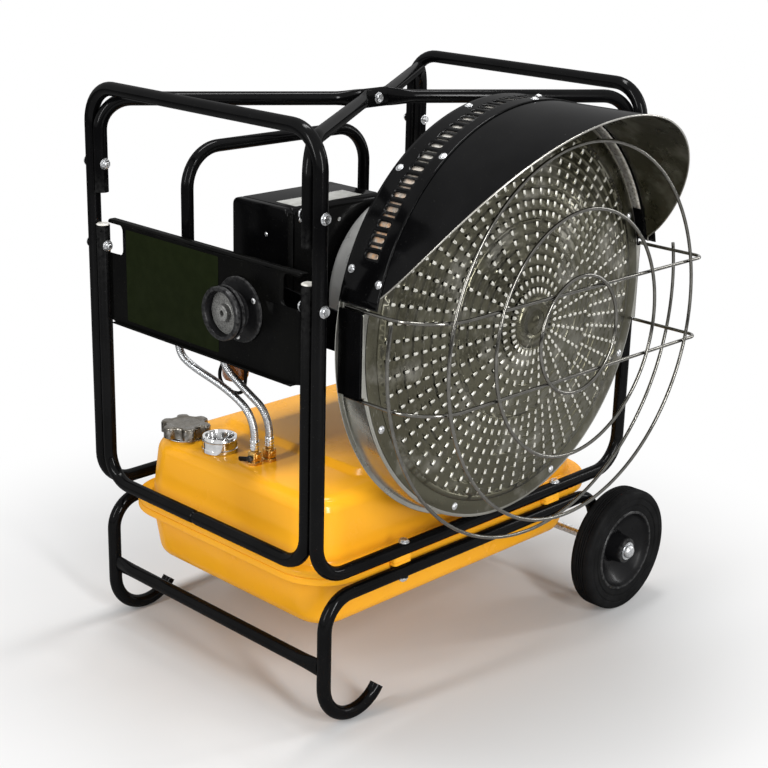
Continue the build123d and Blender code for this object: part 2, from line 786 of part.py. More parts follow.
def tilt_knob():
    """The round clamp knob: neck, ridge with a groove, and a deep recess in front."""
    start = knob_rear_x
    end = knob_front_x
    ridge = end + knob_ridge_w
    points = [(0, start), (knob_neck_r, start), (knob_neck_r, start - knob_neck_length),
              (knob_r, start - knob_neck_length), (knob_r, ridge + knob_groove_w),
              (knob_r - knob_groove_depth, ridge + knob_groove_w), (knob_r - knob_groove_depth, ridge),
              (knob_r, ridge), (knob_r, end), (0, end)]
    knob = turned([(r, x) for r, x in points], (0, pivot_y, pivot_z), (1, 0, 0))
    knob -= rod((end - overrun, pivot_y, pivot_z), (end + knob_recess_depth, pivot_y, pivot_z), knob_recess_r)
    return knob - rod((start - knob_bore_depth, pivot_y, pivot_z), (start + overrun, pivot_y, pivot_z),
                      pivot_r + run_gap)


def knob_insert():
    """The grey floor of the knob with its small centre boss."""
    floor = knob_front_x + knob_recess_depth - seat_gap
    face = floor - insert_t
    insert = rod((floor, pivot_y, pivot_z), (face, pivot_y, pivot_z), knob_recess_r - seat_gap)
    insert += prism((face, pivot_y, pivot_z), (face - insert_boss_h, pivot_y, pivot_z), insert_boss_r)
    return insert - prism((face, pivot_y, pivot_z), (face - insert_boss_h - overrun, pivot_y, pivot_z),
                          insert_hole_r, tube_sides)


def trunnion(side):
    """A pivot pin with a flange, welded to the outer face of an arm."""
    face = side * (arm_x + arm_t / 2)
    seat = face + side * trunnion_flange_t
    end = knob_rear_x - knob_bore_depth + overrun if side < 0 else cage_half_x + trunnion_end
    return prism((face, pivot_y, pivot_z), (seat, pivot_y, pivot_z), trunnion_flange_r) \
        + rod((seat, pivot_y, pivot_z), (end, pivot_y, pivot_z), pivot_r)


def support_plate():
    """The right support plate between the two right posts, with the other bearing."""
    half_y = cage_half_y - tube_d / 2 - seat_gap
    x0 = cage_half_x - plate_t / 2
    x1 = cage_half_x + plate_t / 2
    plate = box_between(x0, x1, -half_y, half_y, plate_bottom_z, plate_top_z)
    plate += box_between(x0 - plate_top_lip, x1, -half_y, half_y, plate_top_z - plate_t, plate_top_z)
    plate += prism((x1 - overrun, pivot_y, pivot_z), (x1 + flange_t, pivot_y, pivot_z), flange_r, round_sides)
    return plate - rod((x0 - overrun, pivot_y, pivot_z), (x1 + flange_t + overrun, pivot_y, pivot_z),
                       pivot_r + run_gap)


def side_arm(side):
    """A side arm: bracket beside the dish, bar back past the pivot, and cheek beside the tray."""
    x0 = side * (arm_x - arm_t / 2)
    corners = [(arm_front_y, dish_z - arm_bracket_half_z), (arm_front_y, dish_z + arm_bracket_half_z),
               (pan_rear_y - seat_gap, dish_z + arm_bracket_half_z), (pan_rear_y - seat_gap, arm_high_z),
               (arm_knee_y, arm_high_z + tray_lip_h), (tray_rear_y, tray_bottom_z + 2 * tray_lip_h),
               (tray_rear_y, tray_bottom_z), (arm_knee_y, tray_bottom_z), (pivot_y - trunnion_flange_r, arm_low_z),
               (pan_rear_y - seat_gap, arm_low_z), (pan_rear_y - seat_gap, dish_z - arm_bracket_half_z)]
    outline = make_face(Polyline(*[(x0, y, z) for y, z in corners], close=True))
    return extrude(outline, amount=arm_t, dir=(side, 0, 0)) + trunnion(side)


def burner_tray():
    """The tray between the arms, folded up at its front and rear edges."""
    half_x = arm_x - arm_t / 2 - seat_gap
    tray = box_between(-half_x, half_x, tray_front_y, tray_rear_y, tray_bottom_z, tray_top_z)
    tray += box_between(-half_x, half_x, tray_front_y, tray_front_y + tray_t, tray_bottom_z, tray_bottom_z + tray_lip_h)
    tray += box_between(-half_x, half_x, tray_rear_y - tray_t, tray_rear_y, tray_bottom_z, tray_bottom_z + tray_lip_h)
    return tray


def handle():
    """The inverted U of tube that stands on the tray behind the box."""
    foot_z = tray_top_z + seat_gap
    path = FilletPolyline((handle_left_x, handle_y, foot_z), (handle_left_x, handle_y, handle_top_z),
                          (handle_right_x, handle_y, handle_top_z), (handle_right_x, handle_y, foot_z),
                          radius=handle_bend_r)
    return bar_along(path, handle_tube_d)


def ring_sheet(outer_r, inner_r, y0, y1):
    """A flat ring or tube about the dish axis."""
    return turned([(inner_r, y0), (outer_r, y0), (outer_r, y1), (inner_r, y1)], (0, 0, dish_z), (0, 1, 0))


def dish_pan():
    """The pan: rear wall with its flange, drum wall, front lip, and squared ears at both sides."""
    rear = pan_rear_y
    front = pan_front_y
    points = [(pan_hole_r, rear + sheet_t), (pan_flange_r, rear + sheet_t), (pan_flange_r, rear), (pan_wall_r, rear),
              (pan_wall_r, front), (pan_ring_inner_r, front), (pan_ring_inner_r, front + sheet_t),
              (pan_wall_r - sheet_t, front + sheet_t), (pan_wall_r - sheet_t, rear), (pan_hole_r, rear)]
    pan = turned(points, (0, 0, dish_z), (0, 1, 0))
    for sx in (-1, 1):
        pan += box_between(sx * (pan_wall_r - pan_ear_depth), sx * pan_wall_r, front, front + sheet_t,
                           dish_z - pan_ear_half_z, dish_z + pan_ear_half_z)
        pan -= box_between(sx * (arm_x - arm_t / 2 - seat_gap), sx * (pan_flange_r + overrun), rear - overrun,
                           rear + 2 * sheet_t, arm_low_z - overrun, arm_high_z + overrun)
    return pan


def louvre_disc():
    """The radiant disc: a shallow cone of flat sectors with a round rim, pierced by rows of louvres."""
    depth = disc_plane_y - disc_apex_y
    base = Plane(origin=(0, disc_plane_y, dish_z), x_dir=(1, 0, 0), z_dir=(0, -1, 0))
    sector_angle = 360 / louvre_sectors
    outer = base * RegularPolygon(disc_edge_r, louvre_sectors)
    tip = base.offset(depth) * RegularPolygon(disc_tip_r, louvre_sectors)
    cone = loft([outer.face(), tip.face()], ruled=True)
    lap = sheet_t * (disc_edge_r - disc_tip_r) / depth
    rim = extrude(base * Circle(disc_r), amount=-sheet_t)
    rim -= extrude(base * RegularPolygon(disc_edge_r - lap, louvre_sectors), amount=-sheet_t)
    disc = cone - Pos(0, sheet_t, 0) * cone + rim
    cutters = []
    for ring in range(louvre_rings):
        r = louvre_first_r + ring * (louvre_last_r - louvre_first_r) / (louvre_rings - 1)
        for sector in range(louvre_sectors):
            if ring == 0 and sector % 2:
                continue
            turn = (sector + 1 / 2) * sector_angle
            cutters.append(Pos(0, 0, dish_z) * Rot(0, turn, 0) * Pos(r, disc_plane_y - depth / 2, 0)
                           * Box(louvre_length, 2 * depth, louvre_w))
    return disc - cutters


def disc_screws():
    """Screws that hold the disc's rim to the pan's ring."""
    return [hex_head(on_dish(disc_screw_r, disc_plane_y, (i + 1 / 2) * 360 / disc_screw_count), (0, -1, 0),
                     screw_head_r, screw_head_h) for i in range(disc_screw_count)]


def visor_edge_y(z):
    """How far forward the visor reaches at a height, from its lower ends to its crown."""
    low = sin(radians(hood_start_deg))
    lift = max((z - dish_z) / hood_r, low)
    return visor_side_y - visor_reach * ((lift - low) / (1 - low)) ** visor_power_share


def hood_sheet(outer_r, y_front, y_rear):
    """A part cylinder over the dish, above its two lower ends."""
    sheet = ring_sheet(outer_r, outer_r - sheet_t, y_front, y_rear)
    low_z = dish_z + hood_r * sin(radians(hood_start_deg))
    return sheet & box_between(-outer_r - overrun, outer_r + overrun, y_front - overrun, y_rear + overrun,
                               low_z, dish_z + outer_r + overrun)


def hood_band():
    """The rear band of the hood with its row of oblong vents."""
    first = slot_first_deg - slot_pitch_deg / 2
    rise = (first - hood_start_deg) / hood_end_flats
    angles = [hood_start_deg + i * rise for i in range(hood_end_flats)]
    angles += [first + i * slot_pitch_deg for i in range(hood_slot_count + 1)]
    angles += [180 - angle for angle in reversed(angles[:hood_end_flats])]
    outer = [on_dish(band_r, pan_rear_y, angle) for angle in angles]
    inner = [on_dish(band_r - sheet_t, pan_rear_y, angle) for angle in reversed(angles)]
    section = make_face(Polyline(*outer, *inner, close=True))
    band = extrude(section, amount=pan_rear_y - band_front_y, dir=(0, -1, 0))
    slots = []
    for i in range(hood_slot_count):
        slots.append(Pos(0, hood_slot_y, dish_z) * Rot(0, -slot_first_deg - i * slot_pitch_deg, 0) * Pos(band_r, 0, 0)
                     * Box(4 * sheet_t, hood_slot_length, hood_slot_w))
    return band - slots


def hood_visor():
    """The front visor, cut along a curve that sweeps from its low sides to its crown."""
    crown_z = dish_z + visor_r + overrun
    low_z = dish_z + hood_r * sin(radians(hood_start_deg))
    sheet = hood_sheet(visor_r, visor_side_y - visor_reach, visor_rear_y)
    knots = [(0, visor_rear_y - wire_d, low_z - overrun)]
    for i in range(1, visor_curve_steps + 1):
        z = low_z + (i / visor_curve_steps) ** 2 * (dish_z + hood_r - low_z)
        knots.append((0, visor_edge_y(z), z))
    region = make_face(Polyline(*knots, (0, knots[-1][1], crown_z), (0, visor_rear_y + overrun, crown_z),
                                (0, visor_rear_y + overrun, low_z - overrun), close=True))
    return sheet & extrude(region, amount=hood_r + overrun, both=True)


def hood_screws():
    """Screw heads on the hood, in a rear row over the pan and a front row over the visor."""
    heads = []
    rows = [(hood_rear_screw_count, hood_rear_screw_y, 2 * hood_start_deg / 3),
            (hood_front_screw_count, hood_front_screw_y, hood_start_deg / 2)]
    for count, y, rise in rows:
        first = hood_start_deg + rise
        for i in range(count):
            deg = first + i * (180 - 2 * first) / (count - 1)
            heads.append(hex_head(on_dish(band_r, y, deg), (cos(radians(deg)), 0, sin(radians(deg))),
                                  screw_head_r, screw_head_h))
    return heads


def guard_wire(z, back_left_y, back_right_y):
    """One long U wire: left leg, wide corner, front run, tight corner and right leg."""
    path = FilletPolyline((-wire_x, back_left_y, z), (-wire_x, wire_front_y, z), (wire_x, wire_front_y, z),
                          (wire_x, back_right_y, z), radius=[wire_left_corner_r, wire_right_corner_r])
    return bar_along(path, wire_d, wire_sides)


def wire_ring(radius, y):
    """A ring of square wire about the dish axis, drawn with short straight runs."""
    plane = Plane(origin=(0, y, dish_z), x_dir=(1, 0, 0), z_dir=(0, -1, 0))
    turn = 180 / ring_sides
    outline = RegularPolygon(radius + wire_d / 2, ring_sides, rotation=turn)
    outline -= RegularPolygon(radius - wire_d / 2, ring_sides, rotation=turn)
    return extrude(plane * outline, amount=wire_d / 2, both=True)


def guard_rings():
    """Three full rings in front of the front runs of the U wires."""
    return [wire_ring(radius, wire_front_y - wire_d - run_gap) for radius in ring_radii]


def guard_arc():
    """The open outer arc below the dish's middle, outside the legs of the U wires."""
    clear_r = hypot(wire_x + wire_d / 2, wire_half_z + wire_d / 2) + seat_gap
    reach = clear_r / cos(radians(180 / ring_sides)) + wire_d / 2
    right_z = dish_z + reach * sin(radians(arc_start_deg))
    left_z = dish_z + reach * sin(radians(arc_start_deg / 2))
    keep = box_between(0, 2 * reach, arc_y - wire_d, arc_y + wire_d, dish_z - 2 * reach, right_z)
    keep += box_between(-2 * reach, 0, arc_y - wire_d, arc_y + wire_d, dish_z - 2 * reach, left_z)
    return wire_ring(reach, arc_y) & keep


def drum_shell():
    """The silver burner drum with a bevelled rear edge, open towards the disc."""
    front = pan_rear_y + sheet_t + seat_gap
    rear = drum_rear_y
    outer = [(drum_r, front), (drum_r, rear - drum_edge_r), (drum_r - drum_edge_r, rear), (blast_hole_r, rear)]
    inner = [(blast_hole_r, rear - sheet_t), (drum_r - sheet_t - drum_edge_r, rear - sheet_t),
             (drum_r - sheet_t, rear - sheet_t - drum_edge_r), (drum_r - sheet_t, front)]
    return turned(outer + inner, (0, 0, dish_z), (0, 1, 0))


blower_front_y = blower_y - blower_r


def blower_casing():
    """The blower casing, a short drum along X with the blast tube that leads to the chamber."""
    x0 = blower_left_x
    x1 = blower_left_x + blower_w
    body = prism((x0, blower_y, blower_z), (x1, blower_y, blower_z), blower_r, round_sides)
    body += prism((0, blast_front_y, dish_z), (0, blower_front_y + blast_r / 2, dish_z), blast_r, round_sides)
    body -= prism((x0 + blower_wall, blower_y, blower_z), (x1 - blower_wall, blower_y, blower_z),
                  blower_r - blower_wall, round_sides)
    body -= prism((0, blast_front_y - overrun, dish_z), (0, blower_front_y + blast_r / 2 + overrun, dish_z),
                  blast_r - blast_wall, round_sides)
    return body - rod((x1 - 2 * blower_wall, blower_y, blower_z), (x1 + overrun, blower_y, blower_z),
                      motor_shaft_r + run_gap)


def blower_fan():
    """The squirrel-cage fan: back plate, hub, leaning blades and a front ring."""
    x0 = blower_left_x + blower_w - 3 * blower_wall - fan_w
    x1 = x0 + fan_w
    blade_mid_r = fan_r - fan_blade_depth / 2
    fan = prism((x1 - fan_plate_t, 0, 0), (x1, 0, 0), fan_r, small_sides)
    fan += prism((x1 - 2 * fan_hub_r, 0, 0), (x1, 0, 0), fan_hub_r)
    ring = prism((x0, 0, 0), (x0 + fan_plate_t, 0, 0), fan_r, small_sides)
    fan += ring - prism((x0 - overrun, 0, 0), (x0 + fan_plate_t + overrun, 0, 0), fan_r - fan_blade_depth, small_sides)
    for i in range(fan_blade_count):
        blade = Rot(i * 360 / fan_blade_count, 0, 0) * Pos((x0 + x1) / 2, 0, blade_mid_r) \
            * Rot(fan_blade_lean_deg, 0, 0) * Box(fan_w - fan_plate_t, fan_blade_t, fan_blade_depth - fan_plate_t)
        fan += blade
    return Pos(0, blower_y, blower_z) * fan


def motor_shaft():
    """The shaft that the motor turns and the fan sits on."""
    x1 = blower_left_x + blower_w
    return rod((x1 - 3 * blower_wall - 2 * fan_hub_r, blower_y, blower_z),
               (x1 + motor_length / 2, blower_y, blower_z), motor_shaft_r)


def burner_motor():
    """The motor, bolted to the blower casing, with a bevelled end bell and a foot on the tray."""
    x0 = blower_left_x + blower_w + seat_gap
    x1 = x0 + motor_length
    body = prism((x0, blower_y, blower_z), (x1, blower_y, blower_z), motor_r, round_sides)
    body = chamfer(body.faces().sort_by(Axis.X)[-1].edges(), motor_r / 5)
    foot = box_between(x0 + motor_length / 4, x1 - motor_length / 4, blower_y - motor_foot_w / 2,
                       blower_y + motor_foot_w / 2, tray_top_z + seat_gap, blower_z)
    return body + foot - rod((x0 - overrun, blower_y, blower_z),
                             (x0 + motor_length / 2 + overrun, blower_y, blower_z), motor_shaft_r + run_gap)


box_seam_x = box_left_x + box_seam_w


def control_box(x0, x1, open_left):
    """One folded half of the box: a shell open on its inner side."""
    z0 = tray_top_z + seat_gap
    outer = box_between(x0, x1, box_front_y, box_rear_y, z0, box_top_z)
    outer_edges = [e for e in outer.edges().filter_by(Axis.Y)
                   if e.center().Z > box_top_z - overrun and (e.center().X > x1 - overrun) == open_left
                   and (e.center().X < x0 + overrun) != open_left]
    outer = fillet(outer_edges, box_corner_r)
    a = x0 - overrun if open_left else x0 + box_wall
    b = x1 - box_wall if open_left else x1 + overrun
    shell = outer - box_between(a, b, box_front_y + box_wall, box_rear_y - box_wall, z0 + box_wall,
                                box_top_z - box_wall)
    return shell - rod((0, box_front_y - overrun, dish_z), (0, blower_y, dish_z), blast_hole_r)


def fuel_pump():
    """The pump block under the tray with its round bowl."""
    low = tray_bottom_z - pump_block_h
    block = box_between(pump_x - pump_block_x / 2, pump_x + pump_block_x / 2, pump_y - pump_block_y / 2,
                        pump_y + pump_block_y / 2, low, tray_bottom_z - seat_gap)
    block = chamfer(block.edges().filter_by(Axis.Z), box_corner_r / 2)
    bowl = prism((pump_x, pump_y, bowl_bottom_z), (pump_x, pump_y, low), bowl_r, round_sides)
    return block + chamfer(bowl.faces().sort_by(Axis.Z)[0].edges(), bowl_r / 4)


lead_route = [(pump_x, 102.0, tray_bottom_z - pump_block_h), (pump_x, 102.0, 494.0), (pump_x, 120.0, 462.0),
              (pump_x, 104.0, 440.0), (pump_x, 60.0, 440.0), (pump_x, 48.0, 466.0),
              (pump_x, 48.0, tray_bottom_z - pump_block_h)]


def pump_lead():
    """The black lead that hangs in a loop round the pump's bowl."""
    return cord("pump lead", lead_route, lead_d, hex_sides)


def fuel_filter():
    """The filter canister behind the tray's rear lip, with its strap and hose nub."""
    low = filter_bottom_z
    can = prism((filter_x, filter_y, low), (filter_x, filter_y, low + filter_h), filter_r, round_sides)
    can = chamfer(can.faces().sort_by(Axis.Z)[0].edges() + can.faces().sort_by(Axis.Z)[-1].edges(), filter_r / 6)
    can += prism((filter_x, filter_y, low - filter_nub_h), (filter_x, filter_y, low + overrun), filter_nub_r)
    strap = box_between(filter_x - filter_nub_r, filter_x + filter_nub_r, tray_rear_y + seat_gap, filter_y,
                        low + overrun, low + overrun + filter_nub_h)
    return can + strap


def main():
    """Builds every node and writes it."""
    write("cage_tube_near", cage_half(-1))
    write("cage_tube_far", cage_half(1))
    write("end_hoop", end_hoop())
    write("hoop_end_plugs", hoop_plugs())
    write("top_bar_near", top_bar(-1))
    write("top_bar_far", top_bar(1))
    write("cage_bolts", cage_bolts())
    write("base_rail_near", base_rail(-1))
    write("base_rail_far", base_rail(1))
    write("base_cross_tube", base_cross_tube())
    write("tank_clamp_bolts", clamp_bolt_set())
    write("axle", axle())
    write("axle_washers", axle_washers())
    write("axle_caps", axle_caps())
    for name, side in (("near", -1), ("far", 1)):
        write(f"tyre_{name}", tyre(side))
        write(f"rim_{name}", rim(side))
    write("tank_upper", tank_upper())
    write("tank_lower", tank_lower())
    write("filler_neck", filler_neck())
    write("fuel_cap", fuel_cap())
    write("fuel_gauge", fuel_gauge())
    write("gauge_float", gauge_float())
    write("supply_fitting", fitting(supply_x, supply_y))
    write("return_fitting", fitting(return_x, return_y))
    write("fuel_cock_lever", fuel_cock_lever())
    write("hose_ferrules", joined([ferrule(supply_x, supply_y), ferrule(return_x, return_y)]))
    write("fuel_hose_supply", cord("supply hose", supply_route, hose_d))
    write("fuel_hose_return", cord("return hose", return_route, hose_d))

    write("side_plate", side_plate())
    write("pivot_flange", pivot_flange())
    write("pivot_flange_screws", joined(flange_screws()))
    write("tilt_knob", tilt_knob())
    write("knob_insert", knob_insert())
    write("support_plate_right", support_plate())

    for name, side in (("left", -1), ("right", 1)):
        write(f"side_arm_{name}", side_arm(side))
    write("burner_tray", burner_tray())
    write("handle", handle())

    write("dish_pan", dish_pan())
    write("louvre_disc", louvre_disc())
    write("hood_band", hood_band())
    write("hood_visor", hood_visor())
    write("dish_screws", joined(disc_screws() + hood_screws()))
    write("guard_wires", joined([guard_wire(dish_z + wire_half_z, arm_front_y + 6 * wire_d, arm_front_y),
                                 guard_wire(dish_z - wire_half_z, arm_front_y + 6 * wire_d, arm_front_y)]))
    write("guard_rings", joined(guard_rings() + [guard_arc()]))

    write("drum_shell", drum_shell())
    write("blower_casing", blower_casing())
    write("blower_fan", joined([blower_fan() + motor_shaft()]))
    write("burner_motor", burner_motor())
    write("control_box_cover", control_box(box_left_x, box_seam_x, False))
    write("control_box_base", control_box(box_seam_x + seat_gap, box_right_x, True))
    write("fuel_pump", fuel_pump())
    write("pump_lead", pump_lead())
    write("fuel_filter", fuel_filter())


main()
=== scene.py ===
import json
from math import cos, sin, tan, radians, pi, tau

import bmesh
import bpy
import numpy as np
from mathutils import Matrix


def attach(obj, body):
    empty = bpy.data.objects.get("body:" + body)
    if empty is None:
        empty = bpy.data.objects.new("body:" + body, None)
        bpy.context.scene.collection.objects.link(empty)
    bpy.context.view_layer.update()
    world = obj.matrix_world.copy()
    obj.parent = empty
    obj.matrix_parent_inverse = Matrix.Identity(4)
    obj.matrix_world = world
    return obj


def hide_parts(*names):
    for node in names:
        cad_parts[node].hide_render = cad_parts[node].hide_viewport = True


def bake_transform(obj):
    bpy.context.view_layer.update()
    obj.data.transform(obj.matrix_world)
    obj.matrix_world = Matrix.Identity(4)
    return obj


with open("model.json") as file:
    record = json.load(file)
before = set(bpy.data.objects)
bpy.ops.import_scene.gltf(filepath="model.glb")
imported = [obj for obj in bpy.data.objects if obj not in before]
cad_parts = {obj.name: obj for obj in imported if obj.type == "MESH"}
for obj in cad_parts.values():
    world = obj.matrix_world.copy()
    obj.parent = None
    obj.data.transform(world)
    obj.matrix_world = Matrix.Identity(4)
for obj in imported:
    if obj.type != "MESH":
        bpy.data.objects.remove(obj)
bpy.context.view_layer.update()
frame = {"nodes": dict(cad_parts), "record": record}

# An oil-fired infrared heater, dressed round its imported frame. Sizes are in millimetres
# in this script and become metres when a mesh is made.
mm = 0.001
scene = bpy.context.scene


# ---------------------------------------------------------------- surfaces


def unit(v):
    """Vectors of length one."""
    v = np.asarray(v, float)
    return v / np.linalg.norm(v, axis=-1, keepdims=True)


def quads(m, n, around=False, along=False):
    """Faces of a grid of m rows and n columns; around joins the last column to the first, along the last row."""
    i, j = np.meshgrid(np.arange(m if along else m - 1), np.arange(n if around else n - 1), indexing="ij")
    a, b = i * n + j, i * n + (j + 1) % n
    c, d = (i + 1) % m * n + (j + 1) % n, (i + 1) % m * n + j
    return np.stack((a, b, c, d), -1).reshape(-1, 4).tolist()


def across(direction):
    """Two directions square to a third one."""
    d = unit(direction)
    u = unit(np.cross(d, (0, 0, 1) if abs(d[2]) < 0.9 else (1, 0, 0)))
    return u, np.cross(d, u)


def bend(corners, radius, steps=9):
    """A path through corners that are rounded: each arc starts and ends radius times tan(half the turn) from its
    corner, and its points are the two ends' directions from the arc's centre, mixed by sines."""
    corners = np.array(corners, float)
    radii = np.broadcast_to(radius, len(corners) - 2)
    path = [corners[:1]]
    for before, here, after, r in zip(corners, corners[1:], corners[2:], radii):
        u, w = unit(before - here), unit(after - here)
        turn = np.arccos(np.clip(-u @ w, -1, 1))
        if turn < 0.02:
            path.append(here[None])
            continue
        room = 0.48 * min(np.linalg.norm(before - here), np.linalg.norm(after - here))
        r = min(r, room / tan(turn / 2))
        centre = here + unit(u + w) * r / cos(turn / 2)
        a, b = here + u * r * tan(turn / 2) - centre, here + w * r * tan(turn / 2) - centre
        s = np.linspace(0, 1, steps)[:, None]
        path.append(centre + (np.sin((1 - s) * turn) * a + np.sin(s * turn) * b) / sin(turn))
    path.append(corners[-1:])
    return np.concatenate(path)


def softened(profile, radius, closed=True, steps=4):
    """A profile of (radius, distance) whose corners are rounded."""
    flat = [(r, d, 0.0) for r, d in profile]
    if not closed:
        return bend(flat, radius, steps)[:, :2]
    return bend([flat[-1]] + flat + [flat[0]], radius, steps)[1:-1, :2]


def carried(path):
    """Tangents of a path, and a side and an up direction that follow it without twist."""
    run = unit(np.diff(path, axis=0))
    t = unit(np.concatenate((run[:1], run[:-1] + run[1:], run[-1:])))
    side = [across(t[0])[0]]
    for heading in t[1:]:
        side.append(unit(side[-1] - heading * (side[-1] @ heading)))
    side = np.array(side)
    return t, side, np.cross(t, side)


def tube(path, half_a, half_b=None, side=None, sides=24, bored=(False, False), closed=False):
    """A bar along a path: station plus half_a times cos(turn) sideways and half_b times sin(turn) upwards. A bored
    end steps in by the tube's wall and runs back inside."""
    path = np.asarray(path, float)
    t, s, up = carried(path)
    if closed:
        ring = unit(np.roll(path, -1, 0) - np.roll(path, 1, 0))
        s = unit(np.broadcast_to(side, path.shape))
        t, up = ring, np.cross(ring, s)
    elif side is not None:
        s = np.broadcast_to(side, path.shape)
        s = unit(s - t * np.sum(s * t, axis=1, keepdims=True))
        up = np.cross(t, s)
    a = np.broadcast_to(half_a, len(path)).astype(float)
    b = a if half_b is None else np.broadcast_to(half_b, len(path)).astype(float)
    wall, depth = 1.5, 24.0
    if bored[1]:
        path = np.concatenate((path, path[-1:], path[-1:] - t[-1:] * depth))
        s, up = (np.concatenate((v, v[-1:], v[-1:])) for v in (s, up))
        a, b = (np.concatenate((v, v[-1:] - wall, v[-1:] - wall)) for v in (a, b))
    if bored[0]:
        path = np.concatenate((path[:1] + t[:1] * depth, path[:1], path))
        s, up = (np.concatenate((v[:1], v[:1], v)) for v in (s, up))
        a, b = (np.concatenate((v[:1] - wall, v[:1] - wall, v)) for v in (a, b))
    turn = np.arange(sides) * tau / sides
    points = (path[:, None] + (a[:, None] * np.cos(turn))[..., None] * s[:, None]
              + (b[:, None] * np.sin(turn))[..., None] * up[:, None])
    if closed:
        return points.reshape(-1, 3), quads(len(path), sides, around=True, along=True)
    return stacked(points)


def spun(profile, place, direction, sides=64, closed=None):
    """A profile of (radius, distance) turned about an axis: place plus distance along it plus radius round it. It
    closes on itself unless it starts on the axis, or as closed says."""
    profile = np.asarray(profile, float)
    closed = profile[0, 0] > 0.0 if closed is None else closed
    d, (u, v) = unit(direction), across(direction)
    turn = np.arange(sides) * tau / sides
    ring = np.cos(turn)[:, None] * u + np.sin(turn)[:, None] * v
    points = np.asarray(place, float) + profile[:, 1, None, None] * d + profile[:, 0, None, None] * ring
    return points.reshape(-1, 3), quads(len(profile), sides, around=True, along=closed)


def upright(profile, x, y, sides):
    """A profile of (radius, height) turned about a vertical line."""
    return spun(profile, (x, y, 0), (0, 0, 1), sides)


def outline(half_x, half_y, corner, steps=10):
    """A rounded rectangle: a quarter arc about each corner's centre."""
    quarter = np.linspace(0, pi / 2, steps)
    turns = np.concatenate([quarter + k * pi / 2 for k in range(4)])
    sx = np.repeat([1, -1, -1, 1], steps)
    sy = np.repeat([1, 1, -1, -1], steps)
    return np.stack((sx * (half_x - corner) + corner * np.cos(turns),
                     sy * (half_y - corner) + corner * np.sin(turns)), -1)


def stacked(rings):
    """A closed body from rings with the same count of points, capped at both ends."""
    rings = np.array(rings, float)
    m, n = rings.shape[:2]
    faces = quads(m, n, around=True) + [list(range(n)), list(range((m - 1) * n, m * n))]
    return rings.reshape(-1, 3), faces


def block(x, y, z, corner=3.0, edge=1.2, along=2):
    """A block with rounded edges: a rounded rectangle carried along one axis, drawn in at both ends by a quarter
    circle."""
    spans = [x, y, z]
    w = spans.pop(along)
    (u0, u1), (v0, v1) = spans
    half_u, half_v = abs(u1 - u0) / 2, abs(v1 - v0) / 2
    turn = np.linspace(0, pi / 2, 5)
    rings = []
    for w_end, sign in ((w[0], 1), (w[1], -1)):
        for a in turn if sign > 0 else turn[::-1]:
            inset = edge * (1 - sin(a))
            flat = outline(half_u - inset, half_v - inset, max(corner - inset, 0.2), 6)
            place = w_end + sign * edge * (1 - cos(a))
            column = np.full((len(flat), 1), place)
            flat = flat + ((u0 + u1) / 2, (v0 + v1) / 2)
            rings.append(np.insert(flat, [along], column, axis=1) if along < 2 else np.hstack((flat, column)))
    return stacked(rings)


def hexagon(place, outward, flat_r, height, start=0.0):
    """A bolt head: six flats, whose outer corners are cut to a cone where the outline's radius is limited."""
    d, (u, v) = unit(outward), across(outward)
    turn = (np.arange(36) * tau / 36)[:, None]
    six = flat_r / np.cos((turn + pi / 6) % (pi / 3) - pi / 6)
    rings = []
    for depth, limit in ((start, 2.0), (height - 0.22 * flat_r, 2.0), (height - 0.08 * flat_r, 1.08),
                         (height, 0.94), (height - 0.05 * flat_r, 0.7)):
        r = np.minimum(six, limit * flat_r)
        rings.append(np.asarray(place, float) + depth * d + r * np.cos(turn) * u + r * np.sin(turn) * v)
    return stacked(rings)


def washer(place, outward, radius, bore, thickness, start=0.0):
    """A flat washer with softened rims."""
    profile = [(bore, start), (radius, start), (radius, start + thickness), (bore, start + thickness)]
    return spun(softened(profile, 0.3, steps=3), place, outward, 32)


def piece(name, parts, finish, body, slot, stands_for=(), wall=0.0, lining=None, sharp=32.0, offset=-1.0):
    """Makes one finished object of several parts, cleans it, gives it a finish and hangs it on its body."""
    points, faces, start = [], [], 0
    for p, f in parts:
        p = np.asarray(p, float).reshape(-1, 3)
        points.append(p)
        faces += [[i + start for i in face] for face in f]
        start += len(p)
    mesh = bpy.data.meshes.new(name)
    mesh.from_pydata((np.concatenate(points) * mm).tolist(), [], faces)
    work = bmesh.new()
    work.from_mesh(mesh)
    bmesh.ops.remove_doubles(work, verts=work.verts, dist=2e-6)
    bmesh.ops.recalc_face_normals(work, faces=work.faces)
    work.to_mesh(mesh)
    work.free()
    mesh.shade_smooth()
    mesh.set_sharp_from_angle(angle=radians(sharp))
    mesh.materials.append(finish)
    made = bpy.data.objects.new(name, mesh)
    scene.collection.objects.link(made)
    if wall:
        thick = made.modifiers.new("wall", "SOLIDIFY")
        thick.thickness = wall * mm
        thick.offset = offset
        if lining:
            mesh.materials.append(lining)
            thick.material_offset = 1
    if stands_for:
        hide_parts(*stands_for)
    if body:
        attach(made, body)
    return made


# ---------------------------------------------------------------- camera, light and floor

def placed(right, up, back, place):
    """The matrix of something that looks away from back."""
    matrix = np.eye(4)
    matrix[:3] = np.stack((right, up, back, place), -1)
    return Matrix(matrix.tolist())


camera_target = np.array((60.5, 0.0, 403.6)) * mm
camera_distance, camera_turn, camera_lift, camera_roll = 2.7921, radians(-46.1), radians(18.6), radians(1.6)
camera_focal_px, image_px = 1590.0, 768.0

